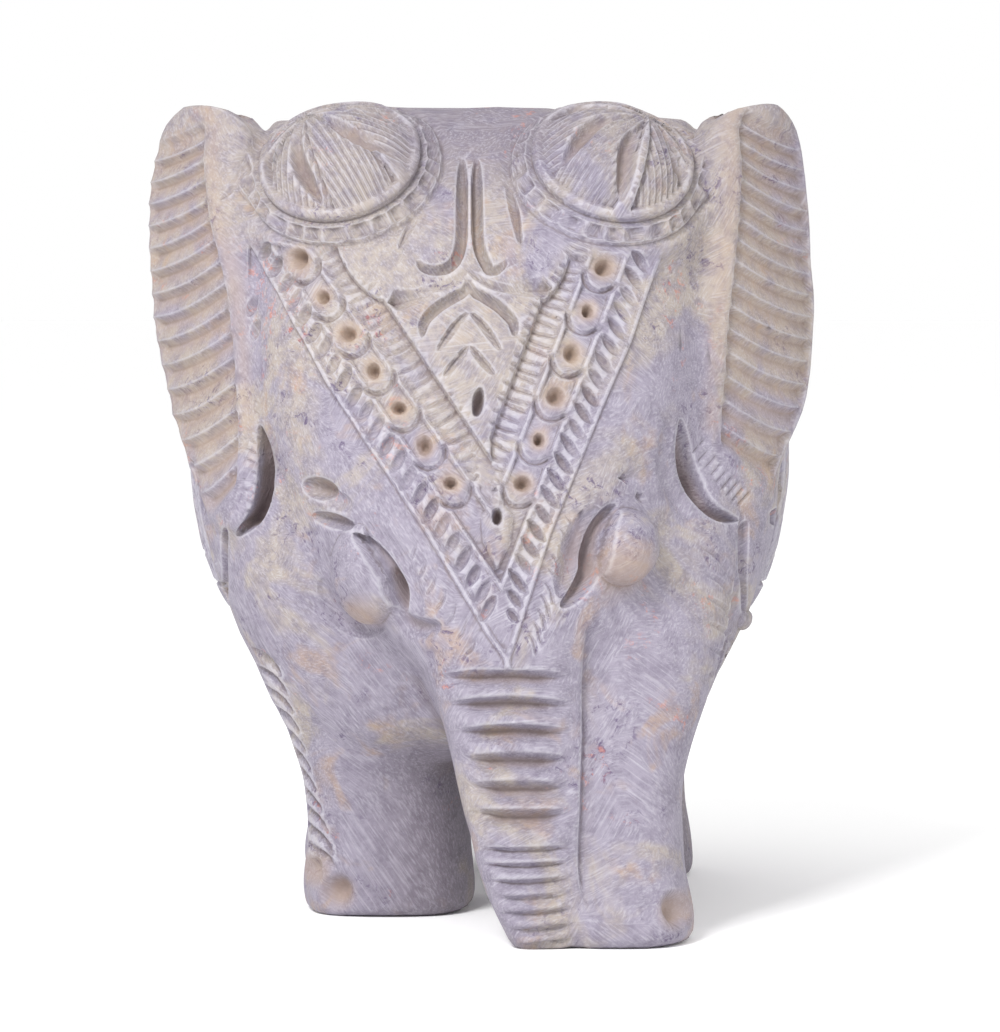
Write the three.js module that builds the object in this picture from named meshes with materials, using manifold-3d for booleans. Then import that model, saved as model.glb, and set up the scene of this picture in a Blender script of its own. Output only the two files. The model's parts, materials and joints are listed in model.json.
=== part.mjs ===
// A palm-sized Indian soapstone elephant, carved from one block.
// Millimetres. +X is the elephant's own left, -Y is the way it faces, +Z is up, and the soles stand on z = 0.
// The stone is roughed out as a few smooth forms, joined, and then carved with gouge cuts, as the carver does it.
import * as THREE from "three";
import { mergeVertices } from "three/addons/utils/BufferGeometryUtils.js";
import Module from "manifold-3d";

const wasm = await Module();
wasm.setup();

// ---------- driving dimensions ----------

// Each form is a few hand-set sections. `wide` and `deep` (or `tall`) are half sizes,
// and `square` is the power of the section's superellipse: 2 is an ellipse, more is boxier.
const BARREL = [
  { y: -14, x: 0, z: 45, wide: 21, tall: 22, square: 2.3 },
  { y: -2, x: 0, z: 45, wide: 28, tall: 26, square: 2.5 },
  { y: 10, x: 0, z: 45, wide: 29.7, tall: 27.6, square: 2.6 },
  { y: 22, x: 0, z: 44.5, wide: 28.8, tall: 26.8, square: 2.6 },
  { y: 32, x: 0, z: 43.5, wide: 25, tall: 23.6, square: 2.5 },
  { y: 39.5, x: 0, z: 42.5, wide: 17.5, tall: 17.5, square: 2.3 },
  { y: 43, x: 0, z: 42, wide: 7, tall: 8, square: 2.1 },
];
const SHOULDERS = [
  { z: 15.5, x: 0, y: -12.5, wide: 12.5, deep: 8.5, square: 2.4 },
  { z: 18, x: 0, y: -13, wide: 18.2, deep: 11.5, square: 2.6 },
  { z: 25, x: 0, y: -12.5, wide: 22.8, deep: 14.5, square: 2.7 },
  { z: 34, x: 0, y: -11.5, wide: 26.4, deep: 16.5, square: 2.7 },
  { z: 44, x: -0.3, y: -9.5, wide: 28, deep: 16, square: 2.7 },
  { z: 56, x: -0.3, y: -8, wide: 27.6, deep: 14, square: 2.7 },
  { z: 66, x: -0.3, y: -8, wide: 26, deep: 12, square: 2.7 },
  { z: 72.5, x: -0.3, y: -8.5, wide: 24, deep: 8, square: 2.6 },
  { z: 75.4, x: -0.3, y: -9, wide: 20.5, deep: 5, square: 2.4 },
];
const HEAD = [
  { z: 19, x: 2, y: -28, wide: 5, deep: 7.5, square: 2.3 },
  { z: 24, x: 1.7, y: -26, wide: 8, deep: 10.4, square: 2.4 },
  { z: 28.5, x: 1.2, y: -22.5, wide: 12.4, deep: 13.6, square: 2.4 },
  { z: 34, x: 0.5, y: -19.5, wide: 16.8, deep: 15.9, square: 2.4 },
  { z: 42, x: -0.5, y: -17, wide: 20, deep: 16.6, square: 2.5 },
  { z: 52, x: -1.2, y: -15.2, wide: 21.4, deep: 16, square: 2.6 },
  { z: 60, x: -1.5, y: -14, wide: 21, deep: 14.6, square: 2.6 },
  { z: 66, x: -1.7, y: -12.6, wide: 19, deep: 12.4, square: 2.6 },
  { z: 71, x: -1.7, y: -11, wide: 15.5, deep: 9.4, square: 2.5 },
  { z: 74.6, x: -1.7, y: -10, wide: 11.5, deep: 6.6, square: 2.4 },
  { z: 76.4, x: -1.7, y: -9.5, wide: 8, deep: 4, square: 2.3 },
];
const TRUNK = [
  { z: 0, x: 4.8, y: -36.5, wide: 2.8, deep: 5, square: 3 },
  { z: 4, x: 4, y: -35.5, wide: 4.1, deep: 5.5, square: 3.2 },
  { z: 10, x: 3.2, y: -33.5, wide: 5.2, deep: 6.2, square: 3.4 },
  { z: 18, x: 2.4, y: -31, wide: 6.2, deep: 7, square: 3.4 },
  { z: 25, x: 1.5, y: -29, wide: 7.3, deep: 7.9, square: 3 },
  { z: 34, x: 1.4, y: -27, wide: 7.6, deep: 7.6, square: 2.6 },
];
const LEFT_FORELEG = [
  { z: 0, x: 11.6, y: -31.3, wide: 6.7, deep: 9.4, square: 2.8 },
  { z: 2, x: 11.7, y: -31.3, wide: 6.9, deep: 9.7, square: 2.8 },
  { z: 9, x: 11.1, y: -29.8, wide: 6.5, deep: 8.6, square: 2.8 },
  { z: 17, x: 10.8, y: -27, wide: 7.6, deep: 9.2, square: 2.7 },
  { z: 26, x: 11, y: -21, wide: 11, deep: 11.5, square: 2.5 },
  { z: 40, x: 11, y: -14, wide: 14, deep: 13, square: 2.4 },
];
const RIGHT_FORELEG = [
  { z: 0, x: -9.7, y: -8, wide: 7.9, deep: 9.7, square: 2.8 },
  { z: 2, x: -9.7, y: -8, wide: 8.2, deep: 10, square: 2.8 },
  { z: 9, x: -9.8, y: -9, wide: 7.7, deep: 9.6, square: 2.8 },
  { z: 16, x: -10.8, y: -10, wide: 8, deep: 10.6, square: 2.7 },
  { z: 24, x: -12.6, y: -11, wide: 9.8, deep: 12.4, square: 2.6 },
  { z: 36, x: -12, y: -11, wide: 13.5, deep: 13.5, square: 2.4 },
];
const LEFT_HIND_LEG = [
  { z: 0, x: 13.2, y: 20, wide: 7.2, deep: 8.7, square: 2.8 },
  { z: 2, x: 13.2, y: 20, wide: 7.4, deep: 9, square: 2.8 },
  { z: 10, x: 13, y: 19.6, wide: 6.7, deep: 8, square: 2.8 },
  { z: 18, x: 13.2, y: 20.6, wide: 7.8, deep: 9.6, square: 2.6 },
  { z: 28, x: 13.4, y: 22, wide: 10.6, deep: 12.6, square: 2.5 },
  { z: 40, x: 12.5, y: 22.5, wide: 12, deep: 14, square: 2.3 },
];
const RIGHT_HIND_LEG = LEFT_HIND_LEG.map((row) => ({ ...row, x: 1.6 - row.x, y: row.y + 5 }));
// The ear leans back from its front rim to its free edge; both are measured out from the ears' own centre line.
// `hang` is how much further out the edge of the left ear lies.
const EARS = { centre: -1, thick: 5.5, square: 3 };
const EAR = [
  { z: 36.6, rim: 23, rimY: -24.2, edge: 24.6, edgeY: -21, hang: 0 },
  { z: 38.6, rim: 22.2, rimY: -24.4, edge: 26.4, edgeY: -18, hang: 0.3 },
  { z: 43, rim: 21.8, rimY: -24, edge: 28.8, edgeY: -15, hang: 0.8 },
  { z: 49, rim: 22, rimY: -23, edge: 30.9, edgeY: -12, hang: 1.4 },
  { z: 56, rim: 22.6, rimY: -22, edge: 32.4, edgeY: -10.5, hang: 0.8 },
  { z: 64, rim: 23.5, rimY: -21, edge: 32.9, edgeY: -10, hang: -0.2 },
  { z: 70, rim: 23.3, rimY: -20.2, edge: 32.5, edgeY: -10.5, hang: -0.3 },
  { z: 74.5, rim: 22.7, rimY: -19, edge: 31, edgeY: -12, hang: 0 },
  { z: 76.6, rim: 23.4, rimY: -17.8, edge: 28.8, edgeY: -14.5, hang: 0.2 },
];
// Two domes stand side by side on the forehead. A dome's axis splays out and rises so much for each millimetre
// forward. Its rings and its nicked border run at these angles from the axis, in degrees.
const DOME = { apart: 11.5, centre: -1.3, back: -16.4, height: 66.4, radius: 10.5, splay: 0.24, rise: 0.98 };
const DOME_RINGS = [
  { tilt: 62, width: 1.6, depth: 1 },
  { tilt: 49, width: 1, depth: 0.6 },
];
const DOME_NICKS = { count: 8, from: 50.5, to: 59.5, width: 1.2, depth: 0.7 };
const PETALS = { count: 6, from: 6, to: 46, start: 14, end: 24, width: 2, depth: 1.2 };

// The face is carved about a middle line that drifts to the elephant's left on the way down.
const MIDDLE = { x: 1.55, z: 25.8, drift: -0.079 };
// The dress on the forehead is bounded by V lines. From its `apex` a line's two arms spread so far for each
// millimetre up, to the elephant's right and left.
const V_LINES = [
  { apex: 26.2, right: 0.57, left: 0.455 },
  { apex: 32.2, right: 0.61, left: 0.465 },
  { apex: 38.6, right: 0.63, left: 0.468 },
  { apex: 44.6, right: 0.61, left: 0.45 },
];
const V_TOP = { right: 61, left: 63.5 };
const V_GROOVE = { width: 1.1, depth: 0.55 };
const V_SCOOPS = { count: 10, foot: 3, half: [0.5, 0.9], width: 1, depth: 0.6 };
const V_STROKES = { count: 7, foot: 4, half: [1, 0.6], width: 0.9, depth: 0.7 };
const V_BEADS = { count: 7, foot: 4, half: 1.4, width: 2.6, height: 0.9 };
const V_HOLES = { up: 1.3, down: 1.1, width: 1.7, depth: 1.5 };
const TRUNK_RINGS = { first: 25.3, last: 1.9, count: 13, reach: 0.95, width: 1.2, depth: 1.1 };
const FLUTES = { count: 12, low: 41, high: 73, from: 0.2, to: 1.02, slope: 0.7, width: 1.7, depth: 0.6 };
const CRESCENT = { front: -24, out: 20.6, width: 1.6, depth: 5, lift: 6 };
const TOENAIL = { low: 0.6, high: 3.6, width: 3, depth: 1.2 };
const LEG_NOTCHES = { count: 7, low: 8, high: 23, from: -70, to: -52, slope: 0.8, width: 1.6, depth: 0.8 };
const STRAP = { low: 30.5, high: 40, out: 24.6, back: -13.5, radius: 1.1 };
const TAIL = {
  points: [
    [0, 40.6, 57],
    [0.4, 43.2, 47],
    [0, 43.6, 38],
    [-2.2, 41.6, 29],
    [-6, 36.8, 20],
    [-8, 33.6, 11],
  ],
  radius: 1.9,
  sides: 6,
  spans: 7,
};
const BLANKET = { low: 27, high: 31, front: 0, back: 34, scoops: 6 };

// ---------- shaping tools ----------

function catmullRom(a, b, c, d, t) {
  return b + 0.5 * t * (c - a + t * (2 * a - 5 * b + 4 * c - d + t * (3 * (b - c) + d - a)));
}

/** The section a share `t` of the way through the hand-set ones, on a smooth curve. */
function between(rows, t) {
  const last = rows.length - 1;
  const at = Math.min(Math.max(t, 0), 1) * last;
  const k = Math.min(Math.floor(at), last - 1);
  const four = [rows[Math.max(k - 1, 0)], rows[k], rows[k + 1], rows[Math.min(k + 2, last)]];
  return Object.fromEntries(
    Object.keys(rows[0]).map((key) => [key, catmullRom(...four.map((row) => row[key]), at - k)]),
  );
}

/** The hand-set sections made into `count` spans. */
function smoothed(rows, count) {
  return Array.from({ length: count + 1 }, (_, i) => between(rows, i / count));
}

/** The section at height z, or at length y, found by halving. */
function sectionAt(rows, key, value) {
  let [low, high] = [0, 1];
  for (let i = 0; i < 24; i++) {
    const middle = (low + high) / 2;
    if (between(rows, middle)[key] < value) low = middle;
    else high = middle;
  }
  return between(rows, low);
}

/** One round section on the half axes `u` and `v`, which turn from u to v about the way of the loft. */
function section(centre, u, v, square, sides) {
  return Array.from({ length: sides }, (_, i) => {
    const angle = (i / sides) * 2 * Math.PI;
    const bend = (s) => Math.sign(s) * Math.abs(s) ** (2 / square);
    return centre
      .clone()
      .addScaledVector(u, bend(Math.cos(angle)))
      .addScaledVector(v, bend(Math.sin(angle)));
  });
}

/** A closed solid through rings of points, with a flat fan at each end. */
function loft(rings) {
  const sides = rings[0].length;
  const faces = [];
  for (let r = 0; r + 1 < rings.length; r++) {
    for (let s = 0; s < sides; s++) {
      const a = r * sides + s;
      const b = r * sides + ((s + 1) % sides);
      faces.push(a, b, b + sides, a, b + sides, a + sides);
    }
  }
  const top = (rings.length - 1) * sides;
  for (let s = 1; s + 1 < sides; s++) {
    faces.push(0, s + 1, s, top, top + s, top + s + 1);
  }
  return new THREE.BufferGeometry().setFromPoints(rings.flat()).setIndex(faces);
}

/** A loft of upright sections. */
function standing(rows, count, sides) {
  const rings = smoothed(rows, count).map((row) =>
    section(
      new THREE.Vector3(row.x, row.y, row.z),
      new THREE.Vector3(row.wide, 0, 0),
      new THREE.Vector3(0, row.deep, 0),
      row.square,
      sides,
    ),
  );
  return loft(rings);
}

/** A loft of sections that stand across the length. */
function lying(rows, count, sides) {
  const rings = smoothed(rows, count).map((row) =>
    section(
      new THREE.Vector3(row.x, row.y, row.z),
      new THREE.Vector3(0, 0, row.tall),
      new THREE.Vector3(row.wide, 0, 0),
      row.square,
      sides,
    ),
  );
  return loft(rings);
}

/** The rim and the free edge of one ear's section. */
function earSpan(side, row) {
  const out = side > 0 ? row.edge + row.hang : row.edge;
  return {
    rim: new THREE.Vector3(EARS.centre + side * row.rim, row.rimY, row.z),
    edge: new THREE.Vector3(EARS.centre + side * out, row.edgeY, row.z),
  };
}

/** One ear, from its lobe up. */
function ear(side, count, sides) {
  const rings = smoothed(EAR, count).map((row) => {
    const { rim, edge } = earSpan(side, row);
    const along = edge.clone().sub(rim).multiplyScalar(0.5);
    const across = new THREE.Vector3(-along.y, along.x, 0).setLength(EARS.thick / 2);
    const centre = rim.clone().add(along).addScaledVector(across, side);
    return section(centre, along, across, EARS.square, sides);
  });
  return loft(rings);
}

/** A three.js geometry as a solid that can be joined and cut. */
function solid(geometry) {
  const bare = geometry.clone();
  bare.deleteAttribute("normal");
  bare.deleteAttribute("uv");
  const merged = mergeVertices(bare, 1e-4);
  return new wasm.Manifold(
    new wasm.Mesh({
      numProp: 3,
      vertProperties: merged.attributes.position.array,
      triVerts: new Uint32Array(merged.index.array),
    }),
  );
}

/** A solid as a three.js geometry. */
function geometryOf(made) {
  const mesh = made.getMesh();
  return new THREE.BufferGeometry()
    .setAttribute("position", new THREE.BufferAttribute(new Float32Array(mesh.vertProperties), 3))
    .setIndex(new THREE.BufferAttribute(mesh.triVerts, 1));
}

/** Moved so that the middle of its box stands over the origin. */
function centred(geometry) {
  geometry.computeBoundingBox();
  const middle = geometry.boundingBox.getCenter(new THREE.Vector3());
  return geometry.translate(-middle.x, -middle.y, 0);
}

const joined = (solids) => solids.reduce((a, b) => a.add(b));

// ---------- the surfaces that carry carving ----------

// A surface gives the point at (u, v), and its normal is out * (d/du x d/dv).

/** How deep a section still is a share of the way out to its side, from 1 at its middle to 0. */
function superellipse(share, square) {
  return Math.max(0, 1 - Math.min(1, Math.abs(share)) ** square) ** (1 / square);
}

/** The y of a standing form's front at (x, z). */
function frontOf(rows, x, z) {
  const row = sectionAt(rows, "z", z);
  return row.y - row.deep * superellipse((x - row.x) / row.wide, row.square);
}

// The forehead and cheeks: the head's front, and below its top section the trunk's where that stands further out.
const face = {
  out: 1,
  at: (x, z) => {
    const head = frontOf(HEAD, x, z);
    const trunkTop = TRUNK.at(-1).z;
    return new THREE.Vector3(x, z > trunkTop ? head : Math.min(head, frontOf(TRUNK, x, z)), z);
  },
};

const trunkFront = { out: 1, at: (x, z) => new THREE.Vector3(x, frontOf(TRUNK, x, z), z) };

const flank = (side) => ({
  out: side,
  at: (y, z) => {
    const row = sectionAt(BARREL, "y", y);
    return new THREE.Vector3(side * row.wide * superellipse((z - row.z) / row.tall, row.square), y, z);
  },
});

const earFront = (side) => ({
  out: side,
  at: (share, z) => {
    const { rim, edge } = earSpan(side, sectionAt(EAR, "z", z));
    return rim.lerp(edge, share);
  },
});

/** A standing form's side by the angle round it, in degrees from straight ahead towards +X. */
const around = (rows) => ({
  out: 1,
  at: (degrees, z) => {
    const row = sectionAt(rows, "z", z);
    const turn = (degrees / 180) * Math.PI;
    const bend = (s) => Math.sign(s) * Math.abs(s) ** (2 / row.square);
    return new THREE.Vector3(row.x + row.wide * bend(Math.sin(turn)), row.y - row.deep * bend(Math.cos(turn)), z);
  },
});

// How far apart the points that give a surface's slope are taken.
const PROBE = 0.05;

/** The point of a surface at (u, v), and its normal. */
function onSurface(surface, [u, v]) {
  const point = surface.at(u, v);
  const du = surface.at(u + PROBE, v).sub(point);
  const dv = surface.at(u, v + PROBE).sub(point);
  return { point, normal: du.cross(dv).multiplyScalar(surface.out).normalize() };
}

// ---------- gouge cuts ----------

// How many sides and belts a boat is faceted with: a gouge cut, a bead, and a form that is seen whole.
const SHARP = { sides: 4, belts: 2 };
const ROUNDED = { sides: 5, belts: 3 };
const FULL = { sides: 10, belts: 3 };

/** A boat-shaped lump, half sunk in the surface, from (u, v) `from` to `to`. */
function boat(surface, from, to, width, depth, facets = SHARP) {
  const middle = [(from[0] + to[0]) / 2, (from[1] + to[1]) / 2];
  const { point, normal } = onSurface(surface, middle);
  const reach = surface.at(...to).sub(surface.at(...from));
  const along = reach.clone().addScaledVector(normal, -reach.dot(normal));
  const across = normal.clone().cross(along).normalize();
  const half = along.length() / 2;
  const place = new THREE.Matrix4().makeBasis(
    across.multiplyScalar(width / 2),
    along.clone().setLength(half),
    normal.clone().negate().multiplyScalar(depth),
  );
  place.setPosition(point);
  const shape = new THREE.SphereGeometry(1, facets.sides, facets.belts).applyMatrix4(place);
  return place.determinant() > 0 ? shape : turnedOut(shape);
}

/** The same shape with its faces turned to point out. */
function turnedOut(geometry) {
  const index = geometry.index.array;
  for (let i = 0; i < index.length; i += 3) {
    [index[i], index[i + 1]] = [index[i + 1], index[i]];
  }
  return geometry;
}

/** A V-shaped groove of one width and depth along (u, v) points of a surface. */
function groove(surface, path, width, depth, lift = 1) {
  const spots = path.map((uv) => onSurface(surface, uv));
  const rings = spots.map(({ point, normal }, i) => {
    const ahead = spots[Math.min(i + 1, spots.length - 1)].point;
    const behind = spots[Math.max(i - 1, 0)].point;
    const across = ahead.clone().sub(behind).cross(normal).setLength(width / 2);
    return [
      point.clone().add(across).addScaledVector(normal, 0.1),
      point.clone().addScaledVector(normal, -depth),
      point.clone().sub(across).addScaledVector(normal, 0.1),
      point.clone().addScaledVector(normal, lift),
    ];
  });
  return loft(rings);
}

const mix = (from, to, share) => from + (to - from) * share;
const steps = (count, make) => Array.from({ length: count }, (_, i) => make((i + 0.5) / count));
const line = (a, b, count) =>
  Array.from({ length: count + 1 }, (_, i) => a.map((from, k) => mix(from, b[k], i / count)));

// ---------- carving ----------

const middleX = (z) => MIDDLE.x + MIDDLE.drift * (z - MIDDLE.z);

/** The x of one line of the V at height z. */
function vX(side, { apex, right, left }, z) {
  return middleX(z) + side * (side < 0 ? right : left) * Math.max(0, z - apex);
}

const vTop = (side) => (side < 0 ? V_TOP.right : V_TOP.left);

/** One arm of the V: its four lines, a row of leaning scoops in the outer band and strokes across the inner one. */
function vDress(side) {
  const top = vTop(side);
  const [outer, second, third, inner] = V_LINES;
  const lines = V_LINES.map((arm) =>
    groove(
      face,
      line([0, top], [0, arm.apex + 0.3], 4).map(([, z]) => [vX(side, arm, z), z]),
      V_GROOVE.width,
      V_GROOVE.depth,
    ),
  );
  const scoops = steps(V_SCOOPS.count, (t) => {
    const { foot, half, width, depth } = V_SCOOPS;
    const z = mix(outer.apex + foot, top, t);
    const x = (vX(side, outer, z) + vX(side, second, z)) / 2;
    return boat(face, [x - half[0] * side, z + half[1]], [x + half[0] * side, z - half[1]], width, depth);
  });
  const strokes = steps(V_STROKES.count, (t) => {
    const { foot, half, width, depth } = V_STROKES;
    const z = mix(third.apex + foot, top, t);
    const x = (vX(side, third, z) + vX(side, inner, z)) / 2;
    return boat(face, [x - half[0], z + half[1] * side], [x + half[0], z - half[1] * side], width, depth);
  });
  return [...lines, ...scoops, ...strokes];
}

/** Where the beads of the V's middle band stand, as x and z. */
function beadPlaces() {
  const [, second, third] = V_LINES;
  return [-1, 1].flatMap((side) =>
    steps(V_BEADS.count, (t) => {
      const z = mix(third.apex + V_BEADS.foot, vTop(side), t);
      return [(vX(side, second, z) + vX(side, third, z)) / 2, z];
    }),
  );
}

function beads() {
  const { half, width, height } = V_BEADS;
  return beadPlaces().map(([x, z]) => boat(face, [x, z + half], [x, z - half], width, height, ROUNDED));
}

function beadHoles() {
  const { up, down, width, depth } = V_HOLES;
  return beadPlaces().map(([x, z]) => boat(face, [x, z + up], [x, z - down], width, depth));
}

/** The hanging leaf inside the V: a stem between two hooked grooves, a leaf with veins under it, and an eye. */
function leafPanel() {
  const stem = -2;
  const petals = [-1, 1].map((side) =>
    groove(
      face,
      [
        [stem + 0.9 * side, 70],
        [stem + 1 * side, 63.5],
        [stem + 1.8 * side, 61.2],
        [stem + 3.6 * side, 60.8],
        [stem + 5 * side, 62],
      ],
      1.1,
      0.7,
    ),
  );
  const creases = [-1, 1].map((side) => boat(face, [stem + 3.8 * side, 69], [stem + 5.8 * side, 63.5], 0.8, 0.6));
  const leaf = [-1, 1].map((side) =>
    groove(
      face,
      [
        [stem, 60.2],
        [stem + 1.2 * side, 58],
        [stem + 3.8 * side, 56.2],
        [stem + 3.2 * side, 53],
      ],
      0.9,
      0.6,
    ),
  );
  const veins = [-1, 1].flatMap((side) =>
    steps(3, (t) => {
      const z = 57.5 - 7 * t;
      return boat(face, [stem + 0.3 * side, z], [stem + 2.6 * side, z - 2.6], 0.6, 0.45);
    }),
  );
  return [...petals, ...creases, ...leaf, ...veins, boat(face, [-1.2, 50.4], [-1.2, 48.4], 1, 1.2)];
}

/** A dome's own frame: its centre, its axis towards the rosette's middle, and two axes across. */
function domeFrame(side) {
  const axis = new THREE.Vector3(side * DOME.splay, -1, DOME.rise).normalize();
  const up = new THREE.Vector3(0, 0, 1).addScaledVector(axis, -axis.z).normalize();
  return {
    centre: new THREE.Vector3(DOME.centre + side * DOME.apart, DOME.back, DOME.height),
    axis,
    up,
    right: up.clone().cross(axis),
  };
}

function domeBall(side) {
  const { x, y, z } = domeFrame(side).centre;
  return new THREE.SphereGeometry(DOME.radius, 14, 8).translate(x, y, z);
}

/** The dome's surface by angle from its axis and angle round it, both in degrees. */
function domeSurface(side) {
  const { centre, axis, up, right } = domeFrame(side);
  const radians = Math.PI / 180;
  return {
    out: 1,
    at: (tilt, turn) =>
      centre
        .clone()
        .addScaledVector(axis, DOME.radius * Math.cos(tilt * radians))
        .addScaledVector(right, DOME.radius * Math.sin(tilt * radians) * Math.cos(turn * radians))
        .addScaledVector(up, DOME.radius * Math.sin(tilt * radians) * Math.sin(turn * radians)),
  };
}

/** Two rings and a nicked border round a rosette, whose petals are parted by gouges. */
function rosette(side) {
  const dome = domeSurface(side);
  const rings = DOME_RINGS.map(({ tilt, width, depth }) =>
    groove(dome, line([tilt, 0], [tilt, 330], 11), width, depth),
  );
  const nicks = steps(DOME_NICKS.count, (t) => {
    const { from, to, width, depth } = DOME_NICKS;
    return boat(dome, [from, 360 * t], [to, 360 * t], width, depth);
  });
  const gouges = steps(PETALS.count, (t) => {
    const { from, to, start, end, width, depth } = PETALS;
    return boat(dome, [from, 360 * t + start], [to, 360 * t + end], width, depth);
  });
  return [...rings, ...nicks, ...gouges];
}

function trunkRings() {
  const { first, last, count, reach, width, depth } = TRUNK_RINGS;
  return steps(count, (t) => {
    const z = mix(first, last, t);
    const { x, wide } = sectionAt(TRUNK, "z", z);
    return boat(trunkFront, [x - reach * wide, z], [x + reach * wide, z], width, depth);
  });
}

function earFlutes(side) {
  const { count, low, high, from, to, slope, width, depth } = FLUTES;
  return steps(count, (t) => {
    const z = mix(low, high, t);
    return boat(earFront(side), [from, z - slope * side], [to, z + slope * side], width, depth);
  });
}

/** The deep crescent that parts the ear's lobe from the cheek. */
function earCrescent(side) {
  const plane = { out: 1, at: (x, z) => new THREE.Vector3(x, CRESCENT.front, z) };
  const x = EARS.centre + side * CRESCENT.out;
  const path = [
    [x - side * 0.4, 47],
    [x + side * 0.1, 43],
    [x - side * 0.1, 39.5],
    [x + side * 1.2, 36.4],
  ];
  return groove(plane, path, CRESCENT.width, CRESCENT.depth, CRESCENT.lift);
}

/** Almond eyes between two wedge cuts, and below them the leaf-shaped stubs of the tusks. */
function eyeCuts(side) {
  const x = side * 13.4;
  return [
    boat(face, [x + side * 3.2, 42.2], [x, 40.4], 1.5, 0.9),
    boat(face, [x + side * 2.2, 38.4], [x - side * 0.8, 38.8], 1.2, 0.7),
    groove(face, [
      [side * 10.8, 38],
      [side * 9, 35],
      [side * 7.8, 31],
      [side * 7.6, 29],
    ], 1.6, 1.6),
  ];
}

/** A stub of tusk: a long leaf on the right, a shorter egg on the left. */
const tuskStub = (side) =>
  side < 0
    ? boat(face, [-12.2, 37.4], [-10.4, 28.8], 5.6, 2.2, FULL)
    : boat(face, [11.6, 38.8], [12, 32.4], 5.6, 3, FULL);

/** Scooped toenails round the front of a foot, each at its own angle from straight ahead. */
function toenails(rows, angles) {
  const { low, high, width, depth } = TOENAIL;
  return angles.map((degrees) => boat(around(rows), [degrees, low], [degrees, high], width, depth));
}

/** Wedge notches in a column down the outer front of the right foreleg. */
function legNotches() {
  const { count, low, high, from, to, slope, width, depth } = LEG_NOTCHES;
  return steps(count, (t) => {
    const z = mix(low, high, t);
    return boat(around(RIGHT_FORELEG), [from, z + slope], [to, z - slope], width, depth);
  });
}

/** A banded strap that hangs behind each ear. */
function strap(side) {
  const { low, high, out, back, radius } = STRAP;
  return new THREE.CylinderGeometry(radius, radius, high - low, 6)
    .rotateX(Math.PI / 2)
    .translate(EARS.centre + side * out, back, (low + high) / 2);
}

/** The tail lies against the rump and then along the back of the right hind leg. */
function tail() {
  const { points, radius, sides, spans } = TAIL;
  const outline = new THREE.Shape(
    Array.from({ length: sides }, (_, i) => {
      const angle = (i / sides) * 2 * Math.PI;
      return new THREE.Vector2(radius * Math.cos(angle), radius * Math.sin(angle));
    }),
  );
  const path = new THREE.CatmullRomCurve3(points.map((point) => new THREE.Vector3(...point)));
  return new THREE.ExtrudeGeometry(outline, { steps: spans, extrudePath: path });
}

/** The saddle cloth's border: two grooves with a row of scoops between, and scallops hanging below. */
function blanket(side) {
  const surface = flank(side);
  const { low, high, front, back, scoops } = BLANKET;
  const lines = [low, high].map((z) => groove(surface, line([front, z], [back, z], 4), 1, 0.6));
  const row = steps(scoops, (t) => {
    const y = front + (back - front) * t;
    return boat(surface, [y - 0.6, low + 0.8], [y + 0.6, high - 0.8], 1.6, 0.7);
  });
  return [...lines, ...row];
}

// ---------- the elephant ----------

const forms = [
  lying(BARREL, 8, 20),
  standing(SHOULDERS, 7, 20),
  standing(HEAD, 10, 20),
  standing(TRUNK, 4, 12),
  standing(LEFT_FORELEG, 5, 12),
  standing(RIGHT_FORELEG, 5, 12),
  standing(LEFT_HIND_LEG, 5, 12),
  standing(RIGHT_HIND_LEG, 5, 12),
  ear(1, 7, 10),
  ear(-1, 7, 10),
  domeBall(-1),
  domeBall(1),
  tuskStub(-1),
  tuskStub(1),
  strap(-1),
  strap(1),
  tail(),
  ...beads(),
];

const cuts = [
  ...vDress(-1),
  ...vDress(1),
  ...beadHoles(),
  ...leafPanel(),
  ...rosette(-1),
  ...rosette(1),
  ...trunkRings(),
  ...earFlutes(-1),
  ...earFlutes(1),
  earCrescent(-1),
  earCrescent(1),
  ...eyeCuts(-1),
  ...eyeCuts(1),
  ...legNotches(),
  ...toenails(LEFT_FORELEG, [0, 30, 62]),
  ...toenails(RIGHT_FORELEG, [-62, -30, 0]),
  ...toenails(LEFT_HIND_LEG, [-15, 20, 55]),
  ...toenails(RIGHT_HIND_LEG, [-55, -20, 15]),
  ...blanket(-1),
  ...blanket(1),
];

const carved = joined(forms.map(solid)).subtract(joined(cuts.map(solid)));

const stone = new THREE.MeshStandardMaterial({ color: 0xb4aab4, roughness: 0.6, metalness: 0 });
const elephant = new THREE.Mesh(centred(geometryOf(carved)), stone);
elephant.name = "elephant";

const group = new THREE.Group();
group.add(elephant);
export default group;
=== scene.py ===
"""A small soapstone elephant, carved and filed from one block.

The body is lofted from the same sections as the solid, fused, and its creases melted. The finer
carving is then cut into the fused surface as depths, in millimetres, worked out from each point's
place on the forehead, ears, domes, trunk, legs and flanks. The stone's colour is procedural.
"""

import json
import math

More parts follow.
